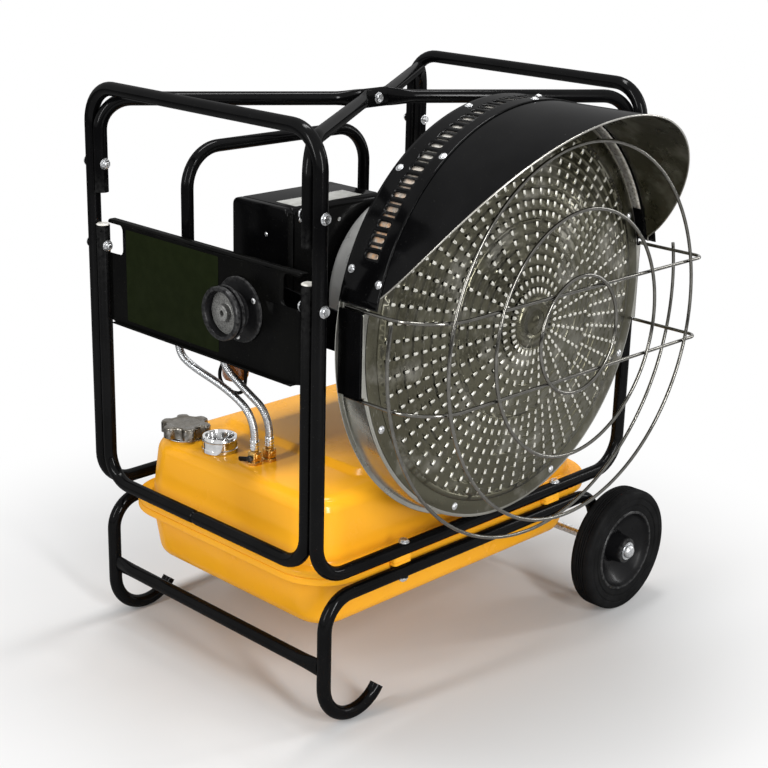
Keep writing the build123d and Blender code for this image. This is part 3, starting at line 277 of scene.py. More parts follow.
forward = np.array((-sin(camera_turn) * cos(camera_lift), cos(camera_turn) * cos(camera_lift), -sin(camera_lift)))
right = np.array((cos(camera_turn), sin(camera_turn), 0.0))
upward = np.cross(right, forward)
rolled_right = cos(camera_roll) * right + sin(camera_roll) * upward
rolled_up = -sin(camera_roll) * right + cos(camera_roll) * upward
eye = camera_target - forward * camera_distance
lens = bpy.data.cameras.new("camera")
lens.sensor_width = 36.0
lens.lens = camera_focal_px * lens.sensor_width / image_px
lens.shift_x, lens.shift_y = -0.0112, 0.004
camera = bpy.data.objects.new("camera", lens)
camera.matrix_world = placed(rolled_right, rolled_up, -forward, eye)
scene.collection.objects.link(camera)
scene.camera = camera
scene.view_settings.view_transform = "Standard"


def lamp(name, place, aim, size, watts):
    """A soft rectangular lamp that looks at a point."""
    data = bpy.data.lights.new(name, "AREA")
    data.shape, data.size, data.size_y = "RECTANGLE", size[0], size[1]
    data.energy = watts
    made = bpy.data.objects.new(name, data)
    back = unit(np.array(place, float) - np.array(aim, float))
    u = unit(np.cross((0.0, 0.0, 1.0), back)) if abs(back[2]) < 0.95 else np.array((1.0, 0.0, 0.0))
    made.matrix_world = placed(u, np.cross(back, u), back, place)
    scene.collection.objects.link(made)


lamp("key strip", (-1.0, -3.0, 1.6), (0.0, -0.1, 0.4), (0.35, 2.1), 86.0)
lamp("end strip", (-3.0, 0.1, 1.8), (-0.3, 0.0, 0.4), (0.3, 1.7), 46.0)
lamp("top strip", (0.1, 0.1, 3.0), (0.0, 0.0, 0.5), (1.7, 0.35), 58.0)
lamp("right strip", (2.7, -1.5, 1.4), (0.1, -0.1, 0.5), (0.25, 1.9), 22.0)

world = bpy.data.worlds.new("studio")
world.use_nodes = True
scene.world = world


def add_node(tree, kind, values=(), **settings):
    """A node with its settings and inputs: an input that is given a socket is linked, any other is set."""
    made = tree.nodes.new(kind)
    for key, value in settings.items():
        setattr(made, key, value)
    for key, value in dict(values).items():
        if isinstance(value, bpy.types.NodeSocket):
            tree.links.new(value, made.inputs[key])
        else:
            made.inputs[key].default_value = value
    return made


def white_to_the_eye(tree, shade):
    """One where a ray comes from the camera, or by gloss or through glass, and shade elsewhere."""
    rays = add_node(tree, "ShaderNodeLightPath").outputs
    seen = add_node(tree, "ShaderNodeMath", {0: rays["Is Camera Ray"], 1: rays["Is Glossy Ray"]}, operation="MAXIMUM")
    either = add_node(tree, "ShaderNodeMath", {0: seen.outputs[0], 1: rays["Is Transmission Ray"]},
                      operation="MAXIMUM")
    return add_node(tree, "ShaderNodeMapRange", {"Value": either.outputs[0], "To Min": shade}).outputs[0]


world.node_tree.nodes["Background"].inputs["Color"].default_value = (1.0, 1.0, 1.0, 1.0)
world.node_tree.links.new(white_to_the_eye(world.node_tree, 0.26),
                          world.node_tree.nodes["Background"].inputs["Strength"])

floor_mesh = bpy.data.meshes.new("studio_floor")
reach = 40.0
floor_mesh.from_pydata([(-reach, -reach, 0), (reach, -reach, 0), (reach, reach, 0), (-reach, reach, 0)], [],
                       [(0, 1, 2, 3)])
floor = bpy.data.objects.new("studio_floor", floor_mesh)
scene.collection.objects.link(floor)
floor_finish = bpy.data.materials.new("floor white")
floor_finish.use_nodes = True
tree = floor_finish.node_tree
matt = tree.nodes["Principled BSDF"]
for key, value in {"Base Color": (0.62, 0.62, 0.62, 1.0), "Roughness": 0.9, "Specular IOR Level": 0.1}.items():
    matt.inputs[key].default_value = value
# the floor glows white to the camera where it is away from the heater, by a smooth step of the distance
place = add_node(tree, "ShaderNodeTexCoord").outputs["Object"]
away = add_node(tree, "ShaderNodeVectorMath", {0: place}, operation="LENGTH").outputs["Value"]
fade = add_node(tree, "ShaderNodeMapRange", {"Value": away, "From Min": 0.32, "From Max": 1.05},
                interpolation_type="SMOOTHSTEP").outputs[0]
lit = add_node(tree, "ShaderNodeLightPath").outputs["Is Camera Ray"]
share = add_node(tree, "ShaderNodeMath", {0: lit, 1: fade}, operation="MULTIPLY").outputs[0]
glow = add_node(tree, "ShaderNodeEmission").outputs[0]
mixed = add_node(tree, "ShaderNodeMixShader", {0: share, 1: matt.outputs[0], 2: glow}).outputs[0]
tree.links.new(mixed, tree.nodes["Material Output"].inputs["Surface"])
floor_mesh.materials.append(floor_finish)


# ---------------------------------------------------------------- finishes


class Finish:
    """A node material that is built up from patterns on Object coordinates."""

    def __init__(self, name, colour, rough, metal=0.0):
        self.material = bpy.data.materials.new(name)
        self.material.use_nodes = True
        self.tree = self.material.node_tree
        self.shader = self.tree.nodes["Principled BSDF"]
        self.colour, self.rough = colour, rough
        self.shader.inputs["Base Color"].default_value = (*colour, 1.0)
        self.shader.inputs["Roughness"].default_value = rough
        self.shader.inputs["Metallic"].default_value = metal
        self.where = self.tree.nodes.new("ShaderNodeTexCoord")
        self.tint = None
        self.height = None

    def node(self, kind, values=(), **settings):
        return add_node(self.tree, kind, values, **settings)

    def noise(self, scale, stretch=(1.0, 1.0, 1.0), detail=3.0, low=0.35, high=0.65, turn=(0, 0, 0)):
        """Cloudy pattern from 0 to 1, with a scale in turns a metre."""
        place = self.node("ShaderNodeMapping", {"Vector": self.where.outputs["Object"], "Scale": stretch,
                                                "Rotation": turn})
        cloud = self.node("ShaderNodeTexNoise", {"Vector": place.outputs[0], "Scale": scale, "Detail": detail})
        return self.span(cloud.outputs["Fac"], low, high)

    def span(self, value, low, high, to_low=0.0, to_high=1.0):
        return self.node("ShaderNodeMapRange", {"Value": value, "From Min": low, "From Max": high, "To Min": to_low,
                                                "To Max": to_high}).outputs[0]

    def product(self, a, b):
        return self.node("ShaderNodeMath", {0: a, 1: b}, operation="MULTIPLY").outputs[0]

    def coloured(self, share, other):
        """Mixes another colour in where share is one."""
        mix = self.node("ShaderNodeMix", {"Factor": share}, data_type="RGBA")
        first, second = mix.inputs[6], mix.inputs[7]
        if self.tint is None:
            first.default_value = (*self.colour, 1.0)
        else:
            self.tree.links.new(self.tint, first)
        second.default_value = (*other, 1.0)
        self.tint = mix.outputs[2]
        self.tree.links.new(self.tint, self.shader.inputs["Base Color"])
        return self

    def roughened(self, share, low, high):
        for key in ("Roughness", "Coat Roughness"):
            self.tree.links.new(self.span(share, 0.0, 1.0, low, high), self.shader.inputs[key])
        return self

    def bumped(self, height, depth_mm):
        bump = self.node("ShaderNodeBump", {"Height": height, "Distance": depth_mm * mm, "Strength": 1.0})
        if self.height is not None:
            self.tree.links.new(self.height, bump.inputs["Normal"])
        self.height = bump.outputs[0]
        self.tree.links.new(self.height, self.shader.inputs["Normal"])
        return self

    def worn(self, colour, low=0.52, high=0.6):
        """Wear along raised edges, broken up by noise."""
        edge = self.node("ShaderNodeNewGeometry").outputs["Pointiness"]
        return self.coloured(self.product(self.span(edge, low, high), self.noise(160.0, detail=4.0)), colour)

    def set(self, **values):
        for key, value in values.items():
            self.shader.inputs[key.replace("_", " ")].default_value = value
        return self


def black_enamel(name="black enamel", edges=True):
    """Gloss black stove paint: faint orange peel, smears in the gloss, dust and pale worn edges."""
    f = Finish(name, (0.0015, 0.0015, 0.0017), 0.12)
    f.set(Specular_IOR_Level=0.0, Coat_Weight=0.17)
    f.coloured(f.noise(14.0, detail=4.0), (0.0032, 0.0032, 0.0034))
    f.coloured(f.noise(420.0, detail=2.0, low=0.7, high=0.8), (0.03, 0.03, 0.029))
    if edges:
        f.worn((0.07, 0.07, 0.068), 0.58, 0.7)
    f.roughened(f.noise(9.0, detail=5.0), 0.07, 0.17)
    return f.bumped(f.noise(420.0, detail=1.0, low=0.2, high=0.8), 0.008).material


def orange_tank():
    """Gloss orange enamel on pressed steel: slight waves of the sheet, orange peel, handling smears."""
    f = Finish("orange enamel", (0.92, 0.425, 0.02), 0.22)
    f.set(Specular_IOR_Level=0.0, Coat_Weight=0.45)
    f.coloured(f.noise(6.0, detail=4.0), (0.89, 0.395, 0.016))
    f.coloured(f.noise(300.0, detail=3.0, low=0.7, high=0.8), (0.6, 0.24, 0.03))
    f.roughened(f.noise(11.0, detail=5.0), 0.14, 0.28)
    f.bumped(f.noise(7.0, detail=1.0, low=0.2, high=0.8), 0.8)
    return f.bumped(f.noise(230.0, detail=1.0, low=0.2, high=0.8), 0.05).material


def stainless(name="stainless sheet", colour=(0.12, 0.115, 0.083), darker=(0.08, 0.075, 0.052)):
    """Heat-tinted stainless sheet: olive tone, browner patches, fine rolling marks, waves and scratches."""
    f = Finish(name, colour, 0.24, 1.0)
    f.coloured(f.noise(5.0, detail=5.0), darker)
    f.coloured(f.noise(17.0, detail=5.0, low=0.55, high=0.8), (0.33, 0.32, 0.28))
    f.coloured(f.noise(300.0, (1.0, 1.0, 0.3), 3.0, 0.66, 0.76, turn=(0.0, 0.5, 0.0)), (0.28, 0.27, 0.24))
    f.roughened(f.noise(21.0, detail=5.0), 0.22, 0.42)
    f.bumped(f.noise(9.0, detail=2.0, low=0.2, high=0.8), 1.4)
    f.bumped(f.noise(60.0, detail=3.0, low=0.2, high=0.8), 0.15)
    return f.bumped(f.noise(900.0, (1.0, 1.0, 0.08), 2.0, 0.2, 0.8), 0.02).material


def louvre_crest_painted_highlight():
    """Painted highlight: a paler copy of the sheet on top of each pressed hood, standing for the light its crest
    catches, with darker specks.
    """
    f = Finish("louvre crest painted highlight", (0.74, 0.73, 0.67), 0.36, 0.5)
    f.coloured(f.noise(120.0, detail=3.0), (0.42, 0.41, 0.36))
    f.roughened(f.noise(300.0), 0.32, 0.5)
    return f.bumped(f.noise(900.0), 0.02).material


def slot_liner_painted_light():
    """Sheet seen through the hood's slots: pale grey above, partly its own bare tone and partly painted light for the
    sheet lit through the slots; browner towards its lower left end.
    """
    f = Finish("slot liner painted light", (0.56, 0.55, 0.51), 0.35, 0.5)
    where = f.node("ShaderNodeSeparateXYZ", {"Vector": f.where.outputs["Object"]})
    f.coloured(f.product(f.span(where.outputs["X"], -0.2, -0.29), f.noise(60.0, low=0.2, high=0.5)), (0.62, 0.33, 0.15))
    f.coloured(f.noise(140.0, detail=3.0), (0.34, 0.31, 0.27))
    f.roughened(f.noise(200.0), 0.25, 0.45)
    return f.bumped(f.noise(500.0), 0.1).material


def pale_drum():
    """Bright aluminised drum: soft sheen, turning marks round its axis, faint grey blooms."""
    f = Finish("aluminised drum", (0.6, 0.6, 0.585), 0.36, 0.6)
    f.coloured(f.noise(12.0, detail=5.0), (0.5, 0.5, 0.485))
    f.roughened(f.noise(30.0, detail=4.0), 0.25, 0.45)
    return f.bumped(f.noise(700.0, (0.05, 1.0, 0.05), 2.0, 0.2, 0.8), 0.03).material


def zinc_steel():
    """Zinc-plated bolts: bright, cloudy, with dull spots."""
    f = Finish("zinc plate", (0.58, 0.59, 0.60), 0.28, 1.0)
    f.coloured(f.noise(260.0, detail=3.0), (0.42, 0.43, 0.44))
    f.worn((0.8, 0.8, 0.8))
    f.roughened(f.noise(340.0), 0.2, 0.45)
    return f.bumped(f.noise(900.0), 0.03).material


def bright_metal(name="bright chrome", colour=(0.72, 0.72, 0.72)):
    """Chromed steel with fine pitting and grease smears."""
    f = Finish(name, colour, 0.1, 1.0)
    f.coloured(f.noise(80.0, detail=4.0), tuple(0.72 * c for c in colour))
    f.roughened(f.noise(60.0, detail=4.0), 0.06, 0.2)
    return f.bumped(f.noise(800.0), 0.012).material


def cap_metal():
    """Die-cast cap: satin grey with a grained skin and brighter rubbed edges."""
    f = Finish("cast cap", (0.14, 0.125, 0.102), 0.3, 1.0)
    f.coloured(f.noise(70.0, detail=5.0), (0.1, 0.09, 0.074))
    f.worn((0.5, 0.49, 0.47))
    f.roughened(f.noise(120.0), 0.22, 0.42)
    return f.bumped(f.noise(520.0, detail=3.0), 0.05).material


def brass():
    """Turned brass with darker tarnish in patches."""
    f = Finish("brass", (0.72, 0.47, 0.16), 0.2, 1.0)
    f.coloured(f.noise(150.0, detail=4.0), (0.46, 0.28, 0.09))
    f.roughened(f.noise(220.0), 0.14, 0.36)
    return f.bumped(f.noise(1200.0, (1.0, 1.0, 0.1)), 0.02).material


def braided_steel():
    """Stainless wire braid: grey wires, darker between them."""
    f = Finish("steel braid", (0.50, 0.51, 0.52), 0.3, 1.0)
    f.coloured(f.noise(220.0, detail=3.0), (0.34, 0.35, 0.36))
    f.roughened(f.noise(500.0), 0.22, 0.42)
    return f.bumped(f.noise(1500.0), 0.04).material


def olive_black():
    """Satin paint of the two plates: near black with an olive cast, fine texture."""
    f = Finish("plate paint", (0.002, 0.002, 0.002), 0.2)
    f.set(Specular_IOR_Level=0.0, Coat_Weight=0.1)
    f.coloured(f.noise(20.0, detail=4.0), (0.003, 0.003, 0.0027))
    f.coloured(f.noise(380.0, detail=2.0, low=0.7, high=0.8), (0.03, 0.03, 0.027))
    f.roughened(f.noise(16.0, detail=5.0), 0.16, 0.34)
    return f.bumped(f.noise(600.0, detail=2.0), 0.02).material


def bare_label():
    """A bare label sheet: dark olive with soft speckle."""
    f = Finish("bare label", (0.0085, 0.012, 0.0035), 0.4)
    f.set(Specular_IOR_Level=0.0, Coat_Weight=0.08)
    f.coloured(f.noise(60.0, detail=4.0), (0.0065, 0.0095, 0.0025))
    f.roughened(f.noise(30.0, detail=4.0), 0.32, 0.5)
    return f.bumped(f.noise(500.0, detail=2.0), 0.03).material


def pale_label():
    """A bare pale sticker with grey smears."""
    f = Finish("pale label", (0.34, 0.34, 0.32), 0.45)
    f.coloured(f.noise(70.0, detail=4.0), (0.24, 0.24, 0.22))
    return f.bumped(f.noise(400.0, detail=2.0), 0.03).material


def black_plastic():
    """Moulded black plastic with a fine spark grain."""
    f = Finish("black plastic", (0.006, 0.006, 0.0065), 0.3)
    f.set(Specular_IOR_Level=0.0, Coat_Weight=0.25)
    f.coloured(f.noise(40.0, detail=3.0), (0.007, 0.007, 0.0075))
    f.worn((0.08, 0.08, 0.08))
    f.roughened(f.noise(35.0, detail=4.0), 0.22, 0.42)
    return f.bumped(f.noise(900.0, detail=2.0), 0.06).material


def white_plastic():
    """White moulded end plugs, slightly yellowed."""
    f = Finish("white plug", (0.74, 0.73, 0.69), 0.35)
    f.coloured(f.noise(90.0), (0.62, 0.60, 0.54))
    f.roughened(f.noise(200.0), 0.28, 0.5)
    return f.bumped(f.noise(700.0), 0.03).material


def motor_grey():
    """Grey hammered paint of the motor."""
    f = Finish("motor paint", (0.16, 0.165, 0.17), 0.4)
    f.coloured(f.noise(50.0, detail=4.0), (0.11, 0.115, 0.12))
    f.roughened(f.noise(90.0), 0.3, 0.5)
    return f.bumped(f.noise(420.0, detail=2.0), 0.15).material


def amber_bowl():
    """Amber filter bowl and its oily block."""
    f = Finish("amber bowl", (0.40, 0.15, 0.035), 0.14)
    f.set(Transmission_Weight=0.35, Coat_Weight=0.4)
    f.coloured(f.noise(60.0, detail=3.0), (0.28, 0.09, 0.02))
    f.roughened(f.noise(120.0), 0.1, 0.25)
    return f.bumped(f.noise(300.0), 0.05).material


def rubber(name, colour, grain=700.0):
    """Black rubber: matt, dusty, with a fine grain."""
    f = Finish(name, colour, 0.62)
    f.set(Specular_IOR_Level=0.0, Coat_Weight=0.1)
    f.coloured(f.noise(25.0, detail=5.0), tuple(1.8 * c for c in colour))
    f.coloured(f.noise(300.0, detail=2.0, low=0.7, high=0.82), (0.03, 0.029, 0.027))
    f.roughened(f.noise(60.0, detail=4.0), 0.5, 0.75)
    return f.bumped(f.noise(grain, detail=3.0), 0.1).material


def knob_floor():
    """Granular grey floor of the knob."""
    f = Finish("knob floor", (0.07, 0.07, 0.068), 0.5, 0.6)
    cells = f.node("ShaderNodeTexVoronoi", {"Vector": f.where.outputs["Object"], "Scale": 420.0})
    f.coloured(f.span(cells.outputs["Distance"], 0.1, 0.6), (0.22, 0.22, 0.21))
    f.roughened(f.noise(300.0), 0.4, 0.65)
    return f.bumped(cells.outputs["Distance"], 0.6).material


def float_plastic():
    """Foamed float."""
    f = Finish("float foam", (0.62, 0.58, 0.48), 0.6)
    f.coloured(f.noise(200.0), (0.5, 0.46, 0.38))
    return f.bumped(f.noise(600.0), 0.2).material


def fan_metal():
    """Galvanised fan blades with spangles."""
    f = Finish("galvanised fan", (0.5, 0.51, 0.52), 0.4, 1.0)
    cells = f.node("ShaderNodeTexVoronoi", {"Vector": f.where.outputs["Object"], "Scale": 150.0})
    f.coloured(f.span(cells.outputs["Distance"], 0.1, 0.8), (0.36, 0.37, 0.38))
    return f.bumped(f.noise(400.0), 0.05).material


def window_glass():
    """Clear window of the fuel gauge, a little scratched."""
    f = Finish("gauge window", (0.9, 0.92, 0.92), 0.05)
    f.set(Transmission_Weight=0.9, IOR=1.45)
    f.roughened(f.noise(400.0), 0.03, 0.14)
    return f.bumped(f.noise(900.0), 0.01).material


finishes = {
    "black_enamel": black_enamel(), "orange_tank": orange_tank(), "stainless": stainless(), "pale_drum": pale_drum(),
    "zinc_steel": zinc_steel(), "bright_metal": bright_metal(),
    "guard_chrome": bright_metal("guard chrome", (0.17, 0.165, 0.15)), "cap_metal": cap_metal(), "brass": brass(),
    "braided_hose": braided_steel(), "olive_black": olive_black(), "black_plastic": black_plastic(),
    "white_plastic": white_plastic(), "motor_grey": motor_grey(), "amber_bowl": amber_bowl(),
    "lead_rubber": rubber("lead rubber", (0.006, 0.006, 0.006)), "knob_floor": knob_floor(),
    "tyre_rubber": rubber("tyre rubber", (0.006, 0.006, 0.0062), 500.0), "float_plastic": float_plastic(),
    "fan_metal": fan_metal(),
}
node_slots = {part["node"]: part["material_slot"] for part in frame["record"]["subparts"]}
sheet_enamel = black_enamel("black enamel sheet", edges=False)
for node_name, node_object in frame["nodes"].items():
    node_object.data.materials.clear()
    slot = node_slots[node_name]
    node_object.data.materials.append(sheet_enamel if slot == "black_enamel" else finishes[slot])


def dressed(node, parts, body, **more):
    """A piece that stands for one CAD node, in that node's own finish."""
    slot = node_slots[node]
    return piece(node + "_shape", parts, more.pop("finish", finishes[slot]), body, slot, (node,), **more)


# ---------------------------------------------------------------- the fuel hoses and the pump lead

supply_route = [(-271, -14, 391), (-271, -14, 430), (-281, 40, 466), (-296, 122, 492), (-300, 143, 512),
                (-300, 143, 540)]
return_route = [(-243, -18, 391), (-243, -18, 429), (-254, 34, 464), (-266, 70, 496), (-266, 70, 516)]
lead_route = [(-235, 102, 516), (-235, 102, 494), (-235, 120, 462), (-235, 104, 440), (-235, 60, 440), (-235, 48, 466),
              (-235, 48, 516)]


def spline_points(route):
    """The line of a smooth spline whose control points are the route, in millimetres."""
    data = bpy.data.curves.new("route", "CURVE")
    data.dimensions = "3D"
    line = data.splines.new("NURBS")
    line.points.add(len(route) - 1)
    line.points.foreach_set("co", np.hstack((np.array(route, float), np.ones((len(route), 1)))).ravel())
    line.order_u = 3
    line.use_endpoint_u = True
    line.resolution_u = 24
    carrier = bpy.data.objects.new("route", data)
    scene.collection.objects.link(carrier)
    mesh = bpy.data.meshes.new_from_object(carrier)
    points = np.empty(len(mesh.vertices) * 3)
    mesh.vertices.foreach_get("co", points)
    bpy.data.objects.remove(carrier)
    bpy.data.meshes.remove(mesh)
    return points.reshape(-1, 3)


def hose(node, route, radius, crossings, depth, body=None):
    """A hose along its spline. A braid's radius is the hose's, less depth times the product of two sines that wind
    round it both ways, so that the wires cross. One with no body of its own hangs on no body, its place baked into its
    mesh."""
    path = spline_points(route)
    gone = np.concatenate(([0.0], np.cumsum(np.linalg.norm(np.diff(path, axis=0), axis=1))))
    even = np.linspace(0.0, gone[-1], max(40, int(gone[-1] / 0.8))) if crossings else gone
    line = np.stack([np.interp(even, gone, path[:, k]) for k in range(3)], -1)
    t, side, up = carried(line)
    sides = 60 if crossings else 20
    turn = np.arange(sides) * tau / sides
    round_it, along_it = crossings * turn[None], even[:, None] * 0.95
    weave = np.sin(round_it + along_it) * np.sin(round_it - along_it)
    r = (radius - depth * (0.5 - 0.5 * weave) if crossings else np.full((len(line), sides), radius))[..., None]
    points = line[:, None] + r * (np.cos(turn)[:, None] * side[:, None] + np.sin(turn)[:, None] * up[:, None])
    made = dressed(node, [stacked(points)], body, sharp=60.0)
    if body is None:
        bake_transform(made)


hose("fuel_hose_supply", supply_route, 6.5, 12, 0.7)
hose("fuel_hose_return", return_route, 6.5, 12, 0.7)
hose("pump_lead", lead_route, 3.0, 0, 0.0, "head")


# ---------------------------------------------------------------- cage, rails and feet

tube_r = 11.1
cage_x, cage_y, cage_top, cage_low = 369.0, 266.0, 934.0, 258.0
hoop_y, hoop_top, hoop_low = cage_y - 22.3, 713.0, 274.0
bar_z = 915.0
clamp_places = (-181.0, 193.0)


def cage_half(node, side):
    """One bent tube of the cage, from the middle of one end rail round to the other."""
    y, inner = side * cage_y, side * 0.05
    path = bend([(-cage_x, inner, cage_top), (-cage_x, y, cage_top), (-cage_x, y, cage_low), (cage_x, y, cage_low),
                 (cage_x, y, cage_top), (cage_x, inner, cage_top)], 58.0, 12)
    dressed(node, [tube(path, tube_r, sides=32)], "frame")


def end_hoop():
    """The U of tube beside the two left posts, open at its upper ends."""
    corners = ((-hoop_y, hoop_top), (-hoop_y, hoop_low), (hoop_y, hoop_low), (hoop_y, hoop_top))
    path = bend([(-cage_x, y, z) for y, z in corners], 50.0, 12)
    middle = len(path) // 2
    nick = np.array([(-cage_x, y, hoop_low) for y in (8.0, 13.0, 16.0, 17.5, 19.0, 22.0, 27.0)])
    path = np.concatenate((path[:middle], nick, path[middle:]))
    half = np.full(len(path), tube_r)
    half[middle:middle + 7] -= (0.0, 0.3, 1.1, 2.0, 1.1, 0.3, 0.0)
    dressed("end_hoop", [tube(path, half, sides=32, bored=(True, True))], "frame")
    plugs = []
    profile = [(0, -18), (9.4, -18), (9.4, 0), (10.8, 0), (10.8, 1.6), (8.6, 3.0), (0, 3.0)]
    for sy in (-1, 1):
        plugs.append(spun(softened(profile, 0.8, closed=False), (-cage_x, sy * hoop_y, hoop_top), (0, 0, 1), 40))
    dressed("hoop_end_plugs", plugs, "frame")


def top_bar(node, side):
    """A V-shaped bar: round legs and arms, pressed flat at the middle. Its half width and half height pass from the
    round tube's to the flat's by a smooth step along the flare, and so does the direction across it."""
    corner = np.array((-cage_x, side * hoop_y, bar_z))
    flat_end = np.array((-24.0, side * 4.05, bar_z))
    heading = unit(flat_end - corner)
    flare_start = flat_end - heading * 46.0
    arm = bend([(-cage_x, side * hoop_y, 767.0), corner, flare_start], 50.0, 12)
    step = np.linspace(0, 1, 12)[1:, None]
    flare = flare_start + (flat_end - flare_start) * step
    middle = np.array([(-12.0, flat_end[1], bar_z), (0.0, flat_end[1], bar_z)])
    half = np.concatenate((arm, flare, middle))
    smooth = (3 * step ** 2 - 2 * step ** 3)[:, 0]
    share = np.concatenate((np.zeros(len(arm)), smooth, np.ones(2)))
    turned = np.array((-heading[1], heading[0], 0.0))
    turned = turned if turned[1] > 0 else -turned
    side_way = (1 - share)[:, None] * turned + share[:, None] * np.array((0.0, 1.0, 0.0))
    path = np.concatenate((half, half[-2::-1] * (-1, 1, 1)))
    ways = np.concatenate((side_way, side_way[-2::-1] * (-1, 1, 1)))
    shares = np.concatenate((share, share[-2::-1]))
    dressed(node, [tube(path, tube_r + (4.0 - tube_r) * shares, tube_r + (15.0 - tube_r) * shares, side=ways,
                        sides=32, bored=(True, True))], "frame")


def base_rail(node, side):
    """Tail at the axle, level run, leg and the hooked foot, whose arc is a circle about its centre."""
    y = side * cage_y
    rail_z, hook_r = 219.2, 64.0
    drop = unit(np.array((344.0 - 296.0, 0.0, 112.0 - rail_z)))
    tail = np.array((344.0, y, 112.0)) + drop * 24.0
    hook_z = hook_r + tube_r
    run = bend([tail, (296.0, y, rail_z), (-350.0, y, rail_z), (-350.0, y, hook_z)], 52.0, 12)
    turn = np.radians(180 + np.linspace(0, 145, 28))[1:]
    hook = np.stack((-286 + hook_r * np.cos(turn), np.full(len(turn), y), hook_z + hook_r * np.sin(turn)), -1)
    dressed(node, [tube(np.concatenate((run, hook)), tube_r, sides=32, bored=(True, True))], "frame")


def base_cross_tube():
    """The tube between the feet, pressed flat where it meets the legs."""
    end, start = 254.8, 210.8
    step = np.linspace(0, 1, 10)
    smooth = 3 * step ** 2 - 2 * step ** 3
    ys = np.concatenate((-end + (end - start) * step, start + (end - start) * step))
    share = np.concatenate((1 - smooth, smooth))
    path = np.stack((np.full(20, -350.0), ys, np.full(20, 105.0)), -1)
    dressed("base_cross_tube", [tube(path, tube_r + (6.0 - tube_r) * share, tube_r + (15.0 - tube_r) * share,
                                     side=(1.0, 0.0, 0.0), sides=32)], "frame")


def bolt(place, outward):
    """A bolt head on a washer."""
    return [washer(place, outward, 9.2, 4.0, 1.4), hexagon(place, outward, 6.5, 5.0, 1.2)]


def nut(place, outward):
    """A nut on a washer with the bolt's end standing out of it."""
    end = [(0, 0.5), (3.8, 0.5), (3.8, 7.2), (3.1, 8.0), (0, 8.0)]
    return [washer(place, outward, 9.2, 4.0, 1.4), hexagon(place, outward, 6.5, 5.6, 1.2),
            spun(end, place, outward, 24)]


def cage_bolts():
    """Bolts through posts and legs, and the one at the crossing of the top bars; each washer dents the tube."""
    bolts, dent, leg_y = [], 0.6, cage_y - 33.4
    for sy in (-1, 1):
        for x, z in ((-cage_x, 813.0), (cage_x, 813.0), (-cage_x, 680.0)):
            bolts += bolt((x, sy * (cage_y + tube_r - dent), z), (0, sy, 0))
            bolts += nut((x, sy * (leg_y + dent), z), (0, -sy, 0))
    bolts += bolt((0, -8.05, bar_z), (0, -1, 0)) + nut((0, 8.05, bar_z), (0, 1, 0))
    dressed("cage_bolts", bolts, "frame")


def clamp_bolts():
    """Bolts through the cage, the tank's ears and the base rails."""
    clamps = []
    for sy in (-1, 1):
        for x in clamp_places:
            clamps += bolt((x, sy * cage_y, 268.5), (0, 0, 1)) + nut((x, sy * cage_y, 208.7), (0, 0, -1))
    dressed("tank_clamp_bolts", clamps, "frame")


for half_name, half_side in (("near", -1), ("far", 1)):
    cage_half("cage_tube_" + half_name, half_side)
    top_bar("top_bar_" + half_name, half_side)
    base_rail("base_rail_" + half_name, half_side)
end_hoop()
base_cross_tube()
cage_bolts()
clamp_bolts()


# ---------------------------------------------------------------- wheels and axle

axle_x, axle_z = 344.0, 112.0


def mirrored(profile, middle):
    """A profile followed by its mirror image about a middle distance."""
    return profile + [(r, 2 * middle - d) for r, d in reversed(profile)]


def wheel(name, side):
    """Tyre with ribbed side walls and grooved tread, and a moulded rim with a deep ring-shaped recess."""
    y0, width = 280.9, 44.0
    wall = [(74.0, y0 + 6), (74.2, y0 + 3), (80, y0 + 1.4), (83, y0 + 1.2), (84, y0 + 2.4), (86, y0 + 2.4),
            (87, y0 + 0.9), (95, y0 + 0.4), (96, y0 + 1.4), (98, y0 + 1.4), (99, y0 + 0.3), (105.5, y0 + 0.4),
            (109.5, y0 + 2.4), (111.6, y0 + 6), (112, y0 + 10)]
    tread = []
    for groove in (14.0, 19.0):
        tread += [(112, y0 + groove), (109.8, y0 + groove + 0.5), (109.8, y0 + groove + 1.7), (112, y0 + groove + 2.2)]
    tyre = mirrored(wall + tread, y0 + width / 2)
    y1 = y0 + width
    disc = [(8.1, y0), (20, y0), (22, y0 + 1), (70, y0 + 2.5), (73.9, y0 + 3), (73.9, y1 - 3), (72.5, y1 - 1.6),
            (69.5, y1 - 1.6), (68, y1 - 4), (66, y1 - 9), (62, y1 - 13), (38, y0 + 13), (30, y0 + 12), (27, y0 + 14),
            (24, y1 - 6), (22.5, y1 - 0.8), (20.5, y1), (8.1, y1)]
    for node, profile in (("tyre", tyre), ("rim", disc)):
        dressed(f"{node}_{name}", [spun([(r, side * d) for r, d in profile], (axle_x, 0, axle_z), (0, 1, 0), 96)],
                f"wheel_{name}", sharp=40.0)


def axle_ends():
    """Domed push-on caps outside the wheels and washers inside them."""
    caps, washers = [], []
    rise = [(0, 11.0), (5, 10.8), (9.0, 9.3), (11.8, 6.5), (12.6, 3.2), (12.8, 2.0), (16.4, 1.9), (16.6, 1.0),
            (16.4, 0.1), (8.1, 0.1), (8.1, 6.0), (0, 6.0)]
    for sy in (-1, 1):
        caps.append(spun(rise, (axle_x, sy * 324.9, axle_z), (0, sy, 0), 48))
        washers.append(washer((axle_x, sy * 277.2, axle_z), (0, sy, 0), 15.0, 8.05, 3.6))
    dressed("axle_caps", caps, "frame")
    dressed("axle_washers", washers, "frame")


wheel("near", -1)
wheel("far", 1)
axle_ends()


# ---------------------------------------------------------------- tank

deck_z = 350.0
cap_x, cap_y, gauge_y = -273.0, 160.0, 71.0

